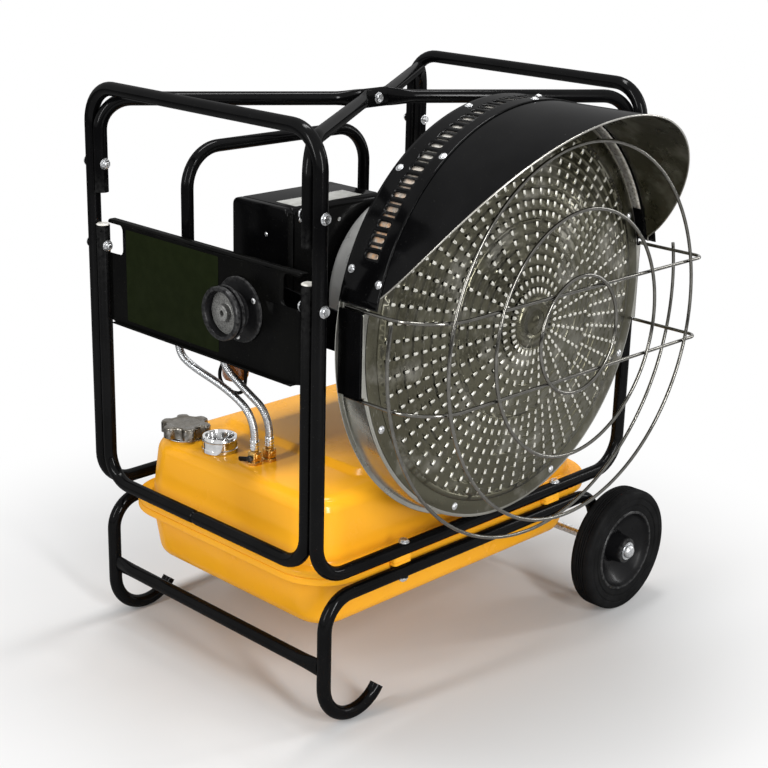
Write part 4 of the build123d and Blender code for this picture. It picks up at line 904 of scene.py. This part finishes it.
def tank_half(node, upper):
    """A drawn shell as a stack of rounded rectangles: flange with a rolled edge, root fillet, tapered wall, edge arc
    and, above, the stepped deck."""
    way = 1 if upper else -1
    seam, band_end = 236.0, 246.9 if upper else 222.5
    base_x, base_y, tilt = (331.0, 226.0, radians(7)) if upper else (328.0, 232.0, radians(9))
    end_z, edge = deck_z if upper else 133.0, 26.0
    rings = []

    def ring(half_x, half_y, corner, z, centre=0.0):
        flat = outline(half_x, half_y, corner, 14)
        rings.append(np.hstack((flat + (centre, 0.0), np.full((len(flat), 1), z))))

    ring(348.4, 252.9, 88.4, seam + way * 0.1)
    ring(349.4, 253.9, 89.4, seam + way * 0.5)
    ring(350.0, 254.5, 90.0, seam + way * 1.4)
    for a in np.linspace(0, pi / 2, 6):
        inset = 4.0 * (1 - cos(a))
        ring(350.0 - inset, 254.5 - inset, 90.0 - inset, band_end - way * 4.0 * (1 - sin(a)))

    def wall(z):
        return tan(tilt) * abs(z - seam)

    for out, up in ((7.0, 0.0), (4.0, 0.5), (1.8, 1.8), (0.5, 4.0), (0.0, 7.0)):
        z = band_end + way * up
        ring(base_x - wall(z) + out, base_y - wall(z) + out, 70.0 - wall(z) + out, z)
    centre_z = end_z - way * edge
    inset = wall(centre_z + way * edge * sin(tilt)) + edge * cos(tilt)
    for a in np.linspace(tilt, pi / 2, 9):
        grow = edge * cos(a)
        ring(base_x - inset + grow, base_y - inset + grow, 70.0 - inset + grow, centre_z + way * edge * sin(a))
    if upper:
        for out, up in ((5.0, 0.0), (2.2, 0.5), (-0.6, 2.2), (-7.4, 8.6), (-9.4, 9.6), (-12.0, 10.0)):
            ring(228.0 + out, 176.0 + out, 30.0 + out, end_z + up, 40.0)
    parts = [stacked(rings)]
    z0, z1 = (seam + 0.1, 246.7) if upper else (230.6, seam - 0.1)
    for x in clamp_places:
        for sy in (-1, 1):
            parts.append(block((x - 20, x + 20), sorted((sy * 248.0, sy * 267.0)), (z0, z1), 6.0, 1.0))
    dressed(node, parts, "frame", sharp=50.0)


tank_half("tank_upper", True)
tank_half("tank_lower", False)


def star_cap():
    """The filler cap: radius 38 plus 5 times a squared-off wave of six lobes, with a rolled top edge."""
    turn = np.arange(144) * tau / 144
    wave = np.tanh(2.2 * np.cos(6 * turn)) / np.tanh(2.2)
    skirt = ((355.0, 1.0), (355.8, 0.0), (371.5, 0.0), (373.6, 0.9), (374.7, 2.4), (375.0, 4.2))
    rows = [(38.0 + 5.0 * wave - inset, z) for z, inset in skirt]
    rows += [(27.0, 375.0), (25.6, 374.4), (24.0, 374.4), (6.0, 374.4)]
    rings = [np.stack((cap_x + r * np.cos(turn), cap_y + r * np.sin(turn), np.full(144, z)), -1) for r, z in rows]
    dressed("fuel_cap", [stacked(rings)], "cap", sharp=40.0)


def gauge():
    """The gauge's chromed ring with a conical seat, and its clear window."""
    ring = [(0, 352.5), (19.6, 352.5), (21.2, 362.0), (22.5, 371.0), (24.0, 376.4), (26.0, 377.0), (28.2, 376.3),
            (29.6, 374.0), (30.0, 370.5), (29.0, 369.0), (29.0, 358.0), (30.0, 356.6), (30.0, 351.2), (29.2, 350.1),
            (0, 350.1)]
    stem = [(0, 262.0), (1.5, 262.0), (1.5, 336.0), (16.0, 336.0), (16.0, 350.0), (0, 350.0)]
    dressed("fuel_gauge", [upright(ring, cap_x, gauge_y, 72), upright(stem, cap_x, gauge_y, 24)], "frame")
    glass = [(0, 356.5), (19.8, 356.5), (20.6, 357.6), (20.6, 360.0), (17.0, 361.6), (0, 362.6)]
    piece("gauge_window", [upright(glass, cap_x, gauge_y, 48)], window_glass(), "frame", "bright_metal")
    dial = [(0, 352.6), (6.0, 352.6), (6.0, 355.0), (4.5, 356.2), (0, 356.2)]
    piece("gauge_hub", [upright(dial, cap_x, gauge_y, 32)], finishes["float_plastic"], "frame", "float_plastic")


def neck():
    """The filler neck under the cap."""
    profile = [(25, 336), (27, 336), (27, 350), (33, 350), (33, 352), (27, 352), (27, 362), (25, 362)]
    dressed("filler_neck", [upright(softened(profile, 0.5, steps=3), cap_x, cap_y, 48)], "frame")


def fittings():
    """Two brass fittings: hexagon foot, squared body with a round boss, neck; and the crimped ferrules."""
    sleeves = []
    for node, x, y in (("supply_fitting", -271, -14), ("return_fitting", -243, -18)):
        foot = hexagon((x, y, deck_z), (0, 0, 1), 10.8, 5.4)
        body = block((x - 8.5, x + 8.5), (y - 8.5, y + 8.5), (355.0, 371.0), 2.6, 1.4)
        collar = upright([(0, 370), (7.4, 370), (7.4, 372.4), (4.5, 373.2), (4.5, 378), (0, 378)], x, y, 32)
        boss = spun([(0, 0), (5.4, 0), (5.4, 1.2), (4.2, 1.8), (4.2, 1.1), (0, 1.1)], (x, y - 8.5, 364.5),
                    (0, -1, 0), 32)
        pipe = upright([(0, 338), (5, 338), (5, deck_z), (0, deck_z)], x, y, 24)
        dressed(node, [foot, body, collar, boss, pipe], "frame")
        crimp = [(4.7, 373.2), (7.0, 373.2), (7.5, 374.2), (7.5, 377.0), (6.9, 377.8), (6.9, 379.2), (7.5, 380.0),
                 (7.5, 383.0), (6.9, 383.8), (6.9, 385.2), (7.5, 386.0), (7.5, 390.0), (6.9, 391.0), (4.7, 391.0)]
        sleeves.append(upright(crimp, x, y, 40))
    dressed("hose_ferrules", sleeves, "frame")


def cock_lever():
    """The flat black lever with a round hub and a rounded end, turned down to rest."""
    hub_y, hub_z = -14.0, 361.0
    hub = spun([(0, 0), (5, 0), (5, 4.6), (4.2, 5.2), (0, 5.2)], (-279.6, hub_y, hub_z), (-1, 0, 0), 32)
    points, faces = block((-284.4, -281.9), (-16.0, 12.0), (357.2, 364.8), 3.4, 0.8, along=0)
    turn = radians(-14)
    y, z = points[:, 1] - hub_y, points[:, 2] - hub_z
    turned = np.stack((points[:, 0], hub_y + y * cos(turn) - z * sin(turn), hub_z + y * sin(turn) + z * cos(turn)), -1)
    dressed("fuel_cock_lever", [hub, (turned, faces)], "cock")


star_cap()
gauge()
neck()
fittings()
cock_lever()


# ---------------------------------------------------------------- side plate, bearing and knob

def folded_plate(node, x, half_y, slot_z, bottom_lip):
    """A pressed plate: a folded profile carried across. Where a notch cuts the edge, the half width is less by the
    notch's depth, whose corners are arcs."""
    low, high, bend_r = 557.0, 724.5, 4.0
    slot_half, slot_depth, corner = 25, 38.5, 10
    turn = np.linspace(0, pi / 2, 6)
    z = np.concatenate((np.linspace(low + 3, slot_z - slot_half, 6), slot_z - slot_half + corner * (1 - np.cos(turn)),
                        [slot_z], slot_z + slot_half - corner + corner * np.sin(turn),
                        np.linspace(slot_z + slot_half, high - bend_r, 3)))
    depth = np.concatenate((np.zeros(6), slot_depth - corner * (1 - np.sin(turn)), [slot_depth],
                            slot_depth - corner * (1 - np.cos(turn)), np.zeros(3)))
    turn = turn[1:]
    top_x, top_z = bend_r * (1 - np.cos(turn)), high - bend_r + bend_r * np.sin(turn)
    xs = np.concatenate(([-bottom_lip, -2.0, -0.4], np.zeros(len(z)), top_x, [13.0]))
    zs = np.concatenate(([low, low, low + 0.8], z, top_z, [high]))
    cut = np.concatenate(([14.0, 14.0, 10.0], depth, np.zeros(6)))
    across_y = np.linspace(-1, 1, 41)
    points = np.stack((np.broadcast_to((x + xs)[:, None], (len(xs), 41)), (half_y - cut)[:, None] * across_y[None],
                       np.broadcast_to(zs[:, None], (len(zs), 41))), -1)
    dressed(node, [(points.reshape(-1, 3), quads(len(xs), 41))], "frame", wall=1.8, offset=0.0, sharp=50.0)


folded_plate("side_plate", -cage_x, 229.0, 696.0, 8.0)

pivot = (0.0, -97.0, 646.0)
label = block((-370.4, -370.0), (-46.0, 182.0), (566.0, 716.0), 3.0, 0.15, along=0)
piece("plate_label_blank", [label], bare_label(), "frame", "olive_black")


def knob_and_bearing():
    """Bearing flange, clamp knob with its groove and deep front recess, and the grey floor."""
    flange = [(10.05, 370.2), (48.4, 370.2), (50.0, 371.4), (50.0, 373.6), (48.6, 375.0), (26.0, 375.0), (24.0, 376.2),
              (24.0, 378.5), (10.05, 378.5)]
    dressed("pivot_flange", [spun(flange, pivot, (-1, 0, 0), 72)], "frame")
    heads = []
    for i in range(3):
        turn = radians(i * 120 - 90)
        place = (-375.0, pivot[1] + 41 * cos(turn), pivot[2] + 41 * sin(turn))
        heads.append(spun([(0, 0), (4.6, 0), (4.4, 1.3), (3.0, 2.5), (0, 2.9)], place, (-1, 0, 0), 24))
    dressed("pivot_flange_screws", heads, "frame")
    rows = [(0, 379.1), (29, 379.1), (30, 380), (30, 391), (32, 393.6), (39.6, 394.4), (41, 396), (41, 400.6),
            (38.4, 401), (38.4, 404.6), (41, 405.1), (41, 409.6), (39.6, 411.6), (37.6, 412.0), (34.6, 411.4),
            (33.2, 409.6), (33.0, 396.4), (0, 396.4)]
    dressed("tilt_knob", [spun(rows, pivot, (-1, 0, 0), 96, closed=True)], "knob", sharp=40.0)
    floor_rows = [(0, 396.5), (32.9, 396.5), (32.9, 398.0), (14.5, 398.0), (13.0, 399.0), (12.4, 406.4), (11.4, 407.0),
                  (5.0, 407.0), (4.5, 406.4), (4.5, 398.2), (0, 398.2)]
    dressed("knob_insert", [spun(floor_rows, pivot, (-1, 0, 0), 64)], "knob")


knob_and_bearing()


# ---------------------------------------------------------------- dish, hood and guard

dish_z = 614.0
dish = np.array((0.0, 0.0, dish_z))


def cone_y(r):
    """The disc's cone: 46 deeper at radius 20 than at radius 300, where it lies at -314."""
    return -314.0 - (300.0 - r) / 280.0 * 46.0


def round_dish(r, y, turns):
    """Points at a radius and a depth, turned about the dish's axis; turns in radians."""
    x, y, z = np.broadcast_arrays(r * np.cos(turns), y, dish_z + r * np.sin(turns))
    return np.stack((x, y, z), -1)


def dish_pan():
    """The pan: rear flange, wall and a rolled front lip, turned about the dish's axis; squared ears at both sides."""
    profile = [(150.0, -264.8), (336.4, -264.8), (337.0, -265.4), (336.4, -266.0), (330.0, -266.2), (328.6, -268.0),
               (328.0, -272.0), (328.0, -308.6), (327.4, -311.2), (325.4, -312.6), (322.6, -312.8), (300.0, -312.8),
               (298.4, -312.2), (298.4, -311.6), (322.0, -311.5), (325.4, -311.0), (326.6, -308.6), (326.6, -272.0),
               (326.0, -267.6), (322.0, -266.0), (150.0, -266.0)]
    parts = [spun(profile, dish, (0, 1, 0), 160)]
    for sx in (-1, 1):
        parts.append(block(sorted((sx * 314.5, sx * 327.8)), (-312.8, -311.6), (551.0, 677.0), 3.0, 0.4, along=1))
    # the pan's sheet is paler than the disc's: partly the bare sheet's own tone, partly painted light standing for the
    # light that reaches it through the hood's slots
    pan_sheet_painted_light = stainless("pan sheet painted light", (0.46, 0.455, 0.42), (0.3, 0.295, 0.26))
    dressed("dish_pan", parts, "head", finish=pan_sheet_painted_light, sharp=40.0)


ring_pitch, first_ring, last_ring, halving_ring = 16.6, 42.0, 291.0, 7


def louvre_zone(rows, first, count):
    """Rings of small hoods on a shallow cone. Each is 2.4 high, about 9 long and 5.4 wide: its height is a half
    sine across times a ramp along it, and it is torn open at its outer end, where two rows share one radius."""
    along = np.array([0.0, 0.16, 0.23, 0.36, 0.54, 0.68, 0.6801, 0.6802])
    lift = np.array([0.0, 0.0, 0.5, 0.85, 1.0, 1.0, 0.42, 0.0])
    r = (first + ring_pitch * (np.arange(count)[:, None] + along[None])).ravel()
    r = np.concatenate((r, [first + ring_pitch * count]))
    rise = np.concatenate((np.tile(lift, count), [0.0]))
    cross = np.array([-1.0, -1.0, -0.78, -0.42, 0.0, 0.42, 0.78, 1.0])
    bulge = np.array([0.0, 0.0, 0.6, 0.93, 1.0, 0.93, 0.6, 0.0])
    pitch = tau * r / rows
    share = np.minimum(2.7, 0.36 * pitch) / pitch
    local = 0.5 + cross[None] * share[:, None]
    local[:, 0] = 0.0
    turn = (np.arange(rows)[None, :, None] + local[:, None, :]) * tau / rows
    height = np.broadcast_to(2.4 * rise[:, None, None] * bulge, turn.shape)
    y = cone_y(r)[:, None, None] - height
    n = rows * len(cross)
    points = round_dish(r[:, None, None], y, turn).reshape(-1, 3)
    faces = np.array(quads(len(r), n, around=True))
    height = height.reshape(len(r), n)
    row, column = faces[:, 0] // n, faces[:, 0] % n
    tallest = np.maximum(height[row, column], height[row, (column + 1) % n])
    torn = (np.abs(r[row + 1] - r[row]) < 0.01) & (tallest > 0.1) & (tallest < 1.2)
    return points, faces[~torn].tolist()


def louvre_disc():
    """The radiant disc: 32 rows of hoods inside, 64 outside, a flat rim and a rounded tip."""
    split = first_ring + ring_pitch * halving_ring
    rings = round((last_ring - first_ring) / ring_pitch)

    def cone(r0, r1):
        return spun([(r, cone_y(r)) for r in (r0, r1)], dish, (0, 1, 0), 256, closed=False)

    zones = [louvre_zone(32, first_ring, halving_ring), louvre_zone(64, split, rings - halving_ring),
             cone(20.0, first_ring), cone(last_ring, 300.0)]
    mesh = dressed("louvre_disc", zones, "head", wall=0.7, offset=1.0, sharp=50.0).data
    # painted highlight: the hoods' raised faces get a second, paler finish that stands for the light their crests catch
    mesh.materials.append(louvre_crest_painted_highlight())
    centres = np.empty(len(mesh.polygons) * 3)
    mesh.polygons.foreach_get("center", centres)
    x, y, z = (centres.reshape(-1, 3) / mm - dish).T
    raised = cone_y(np.hypot(x, z)) - y > 1.5
    mesh.polygons.foreach_set("material_index", raised.astype(np.int32))
    rim = [(300.0, -314.0), (306.0, -314.2), (320.6, -314.2), (322.0, -313.6), (322.0, -313.0), (300.0, -313.0)]
    tip = [(0.0, -362.2), (6.0, -362.2), (9.0, -361.0), (10.0, -360.6), (22.0, -360.0), (22.0, -359.0), (0.0, -359.0)]
    piece("disc_rim_and_tip", [spun(rim, dish, (0, 1, 0), 128), spun(tip, dish, (0, 1, 0), 64)],
          finishes["stainless"], "head", "stainless")


hood_r, hood_low = 338.5, 12.5


def hood_band():
    """The slotted band: a grid of turn and depth on a cylinder. Cells inside a slot are left out, and the points round
    each are drawn on to a stadium: a slot's middle line plus half its width."""
    pitch, count, slot_w, slot_l, slot_y = 4.0625, 33, 8.0, 24.0, -306.5
    cell = np.array([-0.5, -0.36, -0.17, -0.085, 0.0, 0.085, 0.17, 0.36])
    turns = [np.linspace(hood_low, 25.0 - pitch / 2, 6)[:-1]]
    turns += [25.0 + pitch * (i + cell) for i in range(count)]
    turns.append(np.linspace(25.0 + pitch * (count - 0.5), 180 - hood_low, 6))
    turns = np.concatenate(turns)
    across_slot = np.array([12.0, 11.0, 8.0, 3.0, -3.0, -8.0, -11.0, -12.0])
    ys = np.concatenate(([-264.9, -270.0, -280.0, -290.0], slot_y + across_slot, [-322.0, -332.0, -338.0, -342.0]))
    t, y = np.meshgrid(turns, ys)
    nearest = np.clip(np.round((t - 25.0) / pitch), 0, count - 1)
    s = radians(1) * (t - 25.0 - nearest * pitch) * hood_r
    w = y - slot_y
    inside = (np.abs(s) < slot_w / 2 * 1.35) & (np.abs(w) <= slot_l / 2 + 0.01) & (np.abs(s) > 3.9)
    end = (np.abs(np.abs(w) - slot_l / 2) < 0.01) & (np.abs(s) < slot_w / 2 * 1.35)
    middle = np.clip(w, -(slot_l - slot_w) / 2, (slot_l - slot_w) / 2)
    length = np.hypot(s, w - middle)
    move = (inside | end) & (length > 0.1)
    ratio = np.where(move, slot_w / 2 / np.maximum(length, 0.1), 1.0)
    s2, w2 = s * ratio, middle + (w - middle) * ratio
    t = t + np.where(move, np.degrees((s2 - s) / hood_r), 0.0)
    y = np.where(move, slot_y + w2, y)
    points = round_dish(hood_r, y, np.radians(t))
    faces = np.array(quads(len(ys), len(turns)))
    n = len(turns)
    row, column = faces[:, 0] // n, faces[:, 0] % n
    mid_s = (s[row, column] + s[row, column + 1]) / 2
    mid_w = (w[row, column] + w[row + 1, column]) / 2
    hole = (np.abs(mid_s) < slot_w / 2) & (np.abs(mid_w) < slot_l / 2)
    dressed("hood_band", [(points.reshape(-1, 3), faces[~hole].tolist())], "head", wall=1.2, sharp=50.0)


def hood_slot_liner():
    """The pale strip seen through the slots, bowed towards them at its middle; its paleness is partly painted light,
    for the strip lit through the slots.
    """
    turns = np.radians(np.linspace(22.5, 157.5, 136))
    strip = [(335.4, -321.0), (335.9, -314.0), (336.1, -306.5), (335.9, -299.0), (335.4, -292.0)]
    points = np.stack([round_dish(r, d, turns) for r, d in strip])
    piece("hood_slot_liner", [(points.reshape(-1, 3), quads(5, 136))], slot_liner_painted_light(), "head", "stainless", wall=0.8)


def visor_front(turn):
    """How far forward the visor reaches: 312 plus 200 times the height's share above its ends to the power 0.72."""
    low = sin(radians(hood_low))
    share = np.clip((np.sin(np.radians(turn)) - low) / (1 - low), 0, 1)
    return -(312.0 + 200.0 * share ** 0.72)


def hood_visor():
    """The front visor, black outside and stainless inside, with a hemmed front edge whose pale finish paints a
    highlight along it.
    """
    step = np.linspace(-1, 1, 121)
    turns = 90.0 + (90.0 - hood_low) * np.sign(step) * (1 - (1 - np.abs(step)) ** 1.6)
    front = visor_front(turns)
    share = np.concatenate((np.linspace(0, 0.9, 14), [0.95, 0.985, 1.0]))[:, None]
    rear = -326.0
    y = rear + (np.minimum(front, -327.5) - rear)[None, :] * share
    points = round_dish(337.0, y, np.radians(turns))
    dressed("hood_visor", [(points.reshape(-1, 3), quads(len(share), len(turns)))], "head", wall=1.2,
            finish=finishes["black_enamel"], lining=finishes["stainless"], sharp=50.0)
    edge = round_dish(336.4, np.minimum(front, -327.5), np.radians(turns))
    # painted highlight: the hem is a much paler copy of the stainless sheet, standing for the thin line of light along
    # the visor's front edge
    hem_painted_highlight = stainless("visor hem painted highlight", (0.5, 0.49, 0.46), (0.3, 0.29, 0.26))
    piece("visor_hem", [tube(edge, 1.3, sides=12)], hem_painted_highlight, "head", "stainless")


def dish_screws():
    """Domed screws on small washers: eight on the disc's rim and two rows on the hood."""
    parts = []

    def dome(place, outward):
        parts.append(washer(place, outward, 6.2, 2.0, 0.9))
        parts.append(spun([(0, 0.5), (4.6, 0.5), (4.5, 1.9), (3.4, 3.0), (1.6, 3.5), (0, 3.6)], place, outward, 24))

    for i in range(8):
        turn = radians((i + 0.5) * 45)
        dome(round_dish(311.0, -314.1, turn), (0, -1, 0))
    for count, y, first in ((6, -276.0, 12.5 + 25.0 / 3), (5, -334.0, 18.75)):
        for turn in np.radians(np.linspace(first, 180 - first, count)):
            dome(round_dish(338.4, y, turn), (cos(turn), 0, sin(turn)))
    dressed("dish_screws", parts, "head")


def guard():
    """Two long U wires, three full rings and the open outer arc, all of round wire."""
    wires, rings, wire_r = [], [], 2.8
    for z in (681.0, 547.0):
        path = bend([(-327, -277.4, z), (-327, -439.2, z), (327, -439.2, z), (327, -311.0, z)], [85.0, 16.0], 16)
        wires.append(tube(path, wire_r, sides=14))
    for radius in (91.0, 191.0, 291.0):
        turn = np.arange(120) * tau / 120
        rings.append(tube(round_dish(radius, -444.85, turn), wire_r, side=(0.0, 1.0, 0.0), sides=14, closed=True))
    turn = np.radians(np.linspace(13.2, -180.0 - 10.5, 110))
    wires.append(tube(round_dish(341.0, -375.0, turn), wire_r, sides=14))
    dressed("guard_wires", wires, "head", sharp=60.0)
    dressed("guard_rings", rings, "head", sharp=60.0)


dish_pan()
louvre_disc()
hood_band()
hood_slot_liner()
hood_visor()
dish_screws()
guard()


# ---------------------------------------------------------------- burner and handle

blower = (0, 30, 616)


def drum_and_casing():
    """The drum with its bead, and the blower's casing with the blast tube and its collar."""
    drum = [(45.7, -53.2), (142.0, -53.2), (158.8, -69.0), (158.8, -264.6), (160.0, -264.6), (160.0, -256.0),
            (161.2, -254.0), (160.0, -252.0), (160.0, -72.0), (156.0, -62.0), (150.0, -55.6), (142.0, -52.0),
            (45.7, -52.0)]
    dressed("drum_shell", [spun(drum, dish, (0, 1, 0), 128)], "head")
    case = [(0, -22), (60, -22), (68, -20.6), (71, -17.5), (72, -13), (72, 39), (71, 43.5), (68, 46.6), (60, 48),
            (0, 48)]
    pipe = [(43.5, -112), (45, -112), (45, -20), (43.5, -20)]
    collar = [(45, -50), (56, -50), (56, -40), (45, -40)]
    dressed("blower_casing", [spun(case, blower, (1, 0, 0), 72), spun(pipe, dish, (0, 1, 0), 64),
                              spun(softened(collar, 1.0), dish, (0, 1, 0), 64)], "head")


def motor():
    """The finned motor on its foot, with a small junction box on top."""
    bell = [(0, 48.2), (46, 48.2), (48, 50), (48, 56)]
    for x in np.arange(60.0, 122.0, 8.0):
        bell += [(48, x), (44.5, x + 1), (44.5, x + 4), (48, x + 5)]
    bell += [(48, 128), (47, 140), (42, 147), (34, 150), (0, 150)]
    foot = block((74.0, 124.0), (0.0, 60.0), (542.7, 590.0), 3.0, 1.5)
    junction = block((80.0, 120.0), (4.0, 56.0), (655.0, 676.0), 3.0, 2.0)
    dressed("burner_motor", [spun(bell, blower, (1, 0, 0), 72), foot, junction], "head", sharp=40.0)


def control_box():
    """The two halves of the box behind the drum, with a bare sticker and three rivets."""
    for node, x in (("control_box_cover", (-232.0, -218.4)), ("control_box_base", (-217.6, -26.0))):
        dressed(node, [block(x, (-46.0, 84.0), (542.7, 768.0), 12.0, 2.2, along=0)], "head")
    sticker = block((-205.0, -60.0), (-36.0, 10.0), (768.0, 768.3), 2.0, 0.1)
    piece("box_sticker_blank", [sticker], pale_label(), "head", "white_plastic")
    rivet = [(0, -1.5), (3.4, -1.5), (3.2, 0.8), (2.0, 1.5), (0, 1.7)]
    rivets = [spun(rivet, (-232.0, 2.0, 721.0), (-1, 0, 0), 24)]
    rivets += [spun(rivet, (x, -46.0, z), (0, -1, 0), 24) for x, z in ((-121.0, 738.0), (-205.0, 748.0))]
    piece("box_rivets", rivets, finishes["zinc_steel"], "head", "zinc_steel")


def pump_and_filter():
    """The fuel pump with its bowl under it, and the filter canister in its strap."""
    block_part = block((-275.0, -195.0), (45.0, 105.0), (516.0, 539.8), 6.0, 2.0)
    bowl = [(0, 463), (14, 463.4), (19, 466), (21.5, 471), (22, 477), (22, 502), (24.5, 503), (24.5, 513), (22, 514),
            (22, 517), (0, 517)]
    dressed("fuel_pump", [block_part, upright(bowl, -235, 75, 64)], "head")
    can = [(0, 540), (7.6, 540), (7.6, 548), (14, 548.2), (18.5, 550.5), (20, 555), (20, 566), (20.6, 567), (20.6, 569),
           (20, 570), (20, 607), (18.5, 611.5), (14, 613.8), (0, 614)]
    strap = block((-307.6, -292.4), (107.2, 143.0), (549.0, 557.0), 1.5, 0.8)
    dressed("fuel_filter", [upright(can, -300, 143, 48), strap], "head")


def handle():
    """The inverted U of tube behind the box."""
    path = bend([(-315, 94.2, 542.8), (-315, 94.2, 850), (71, 94.2, 850), (71, 94.2, 542.8)], 62.0, 14)
    dressed("handle", [tube(path, 10.0, sides=32)], "head")


drum_and_casing()
motor()
control_box()
pump_and_filter()
handle()
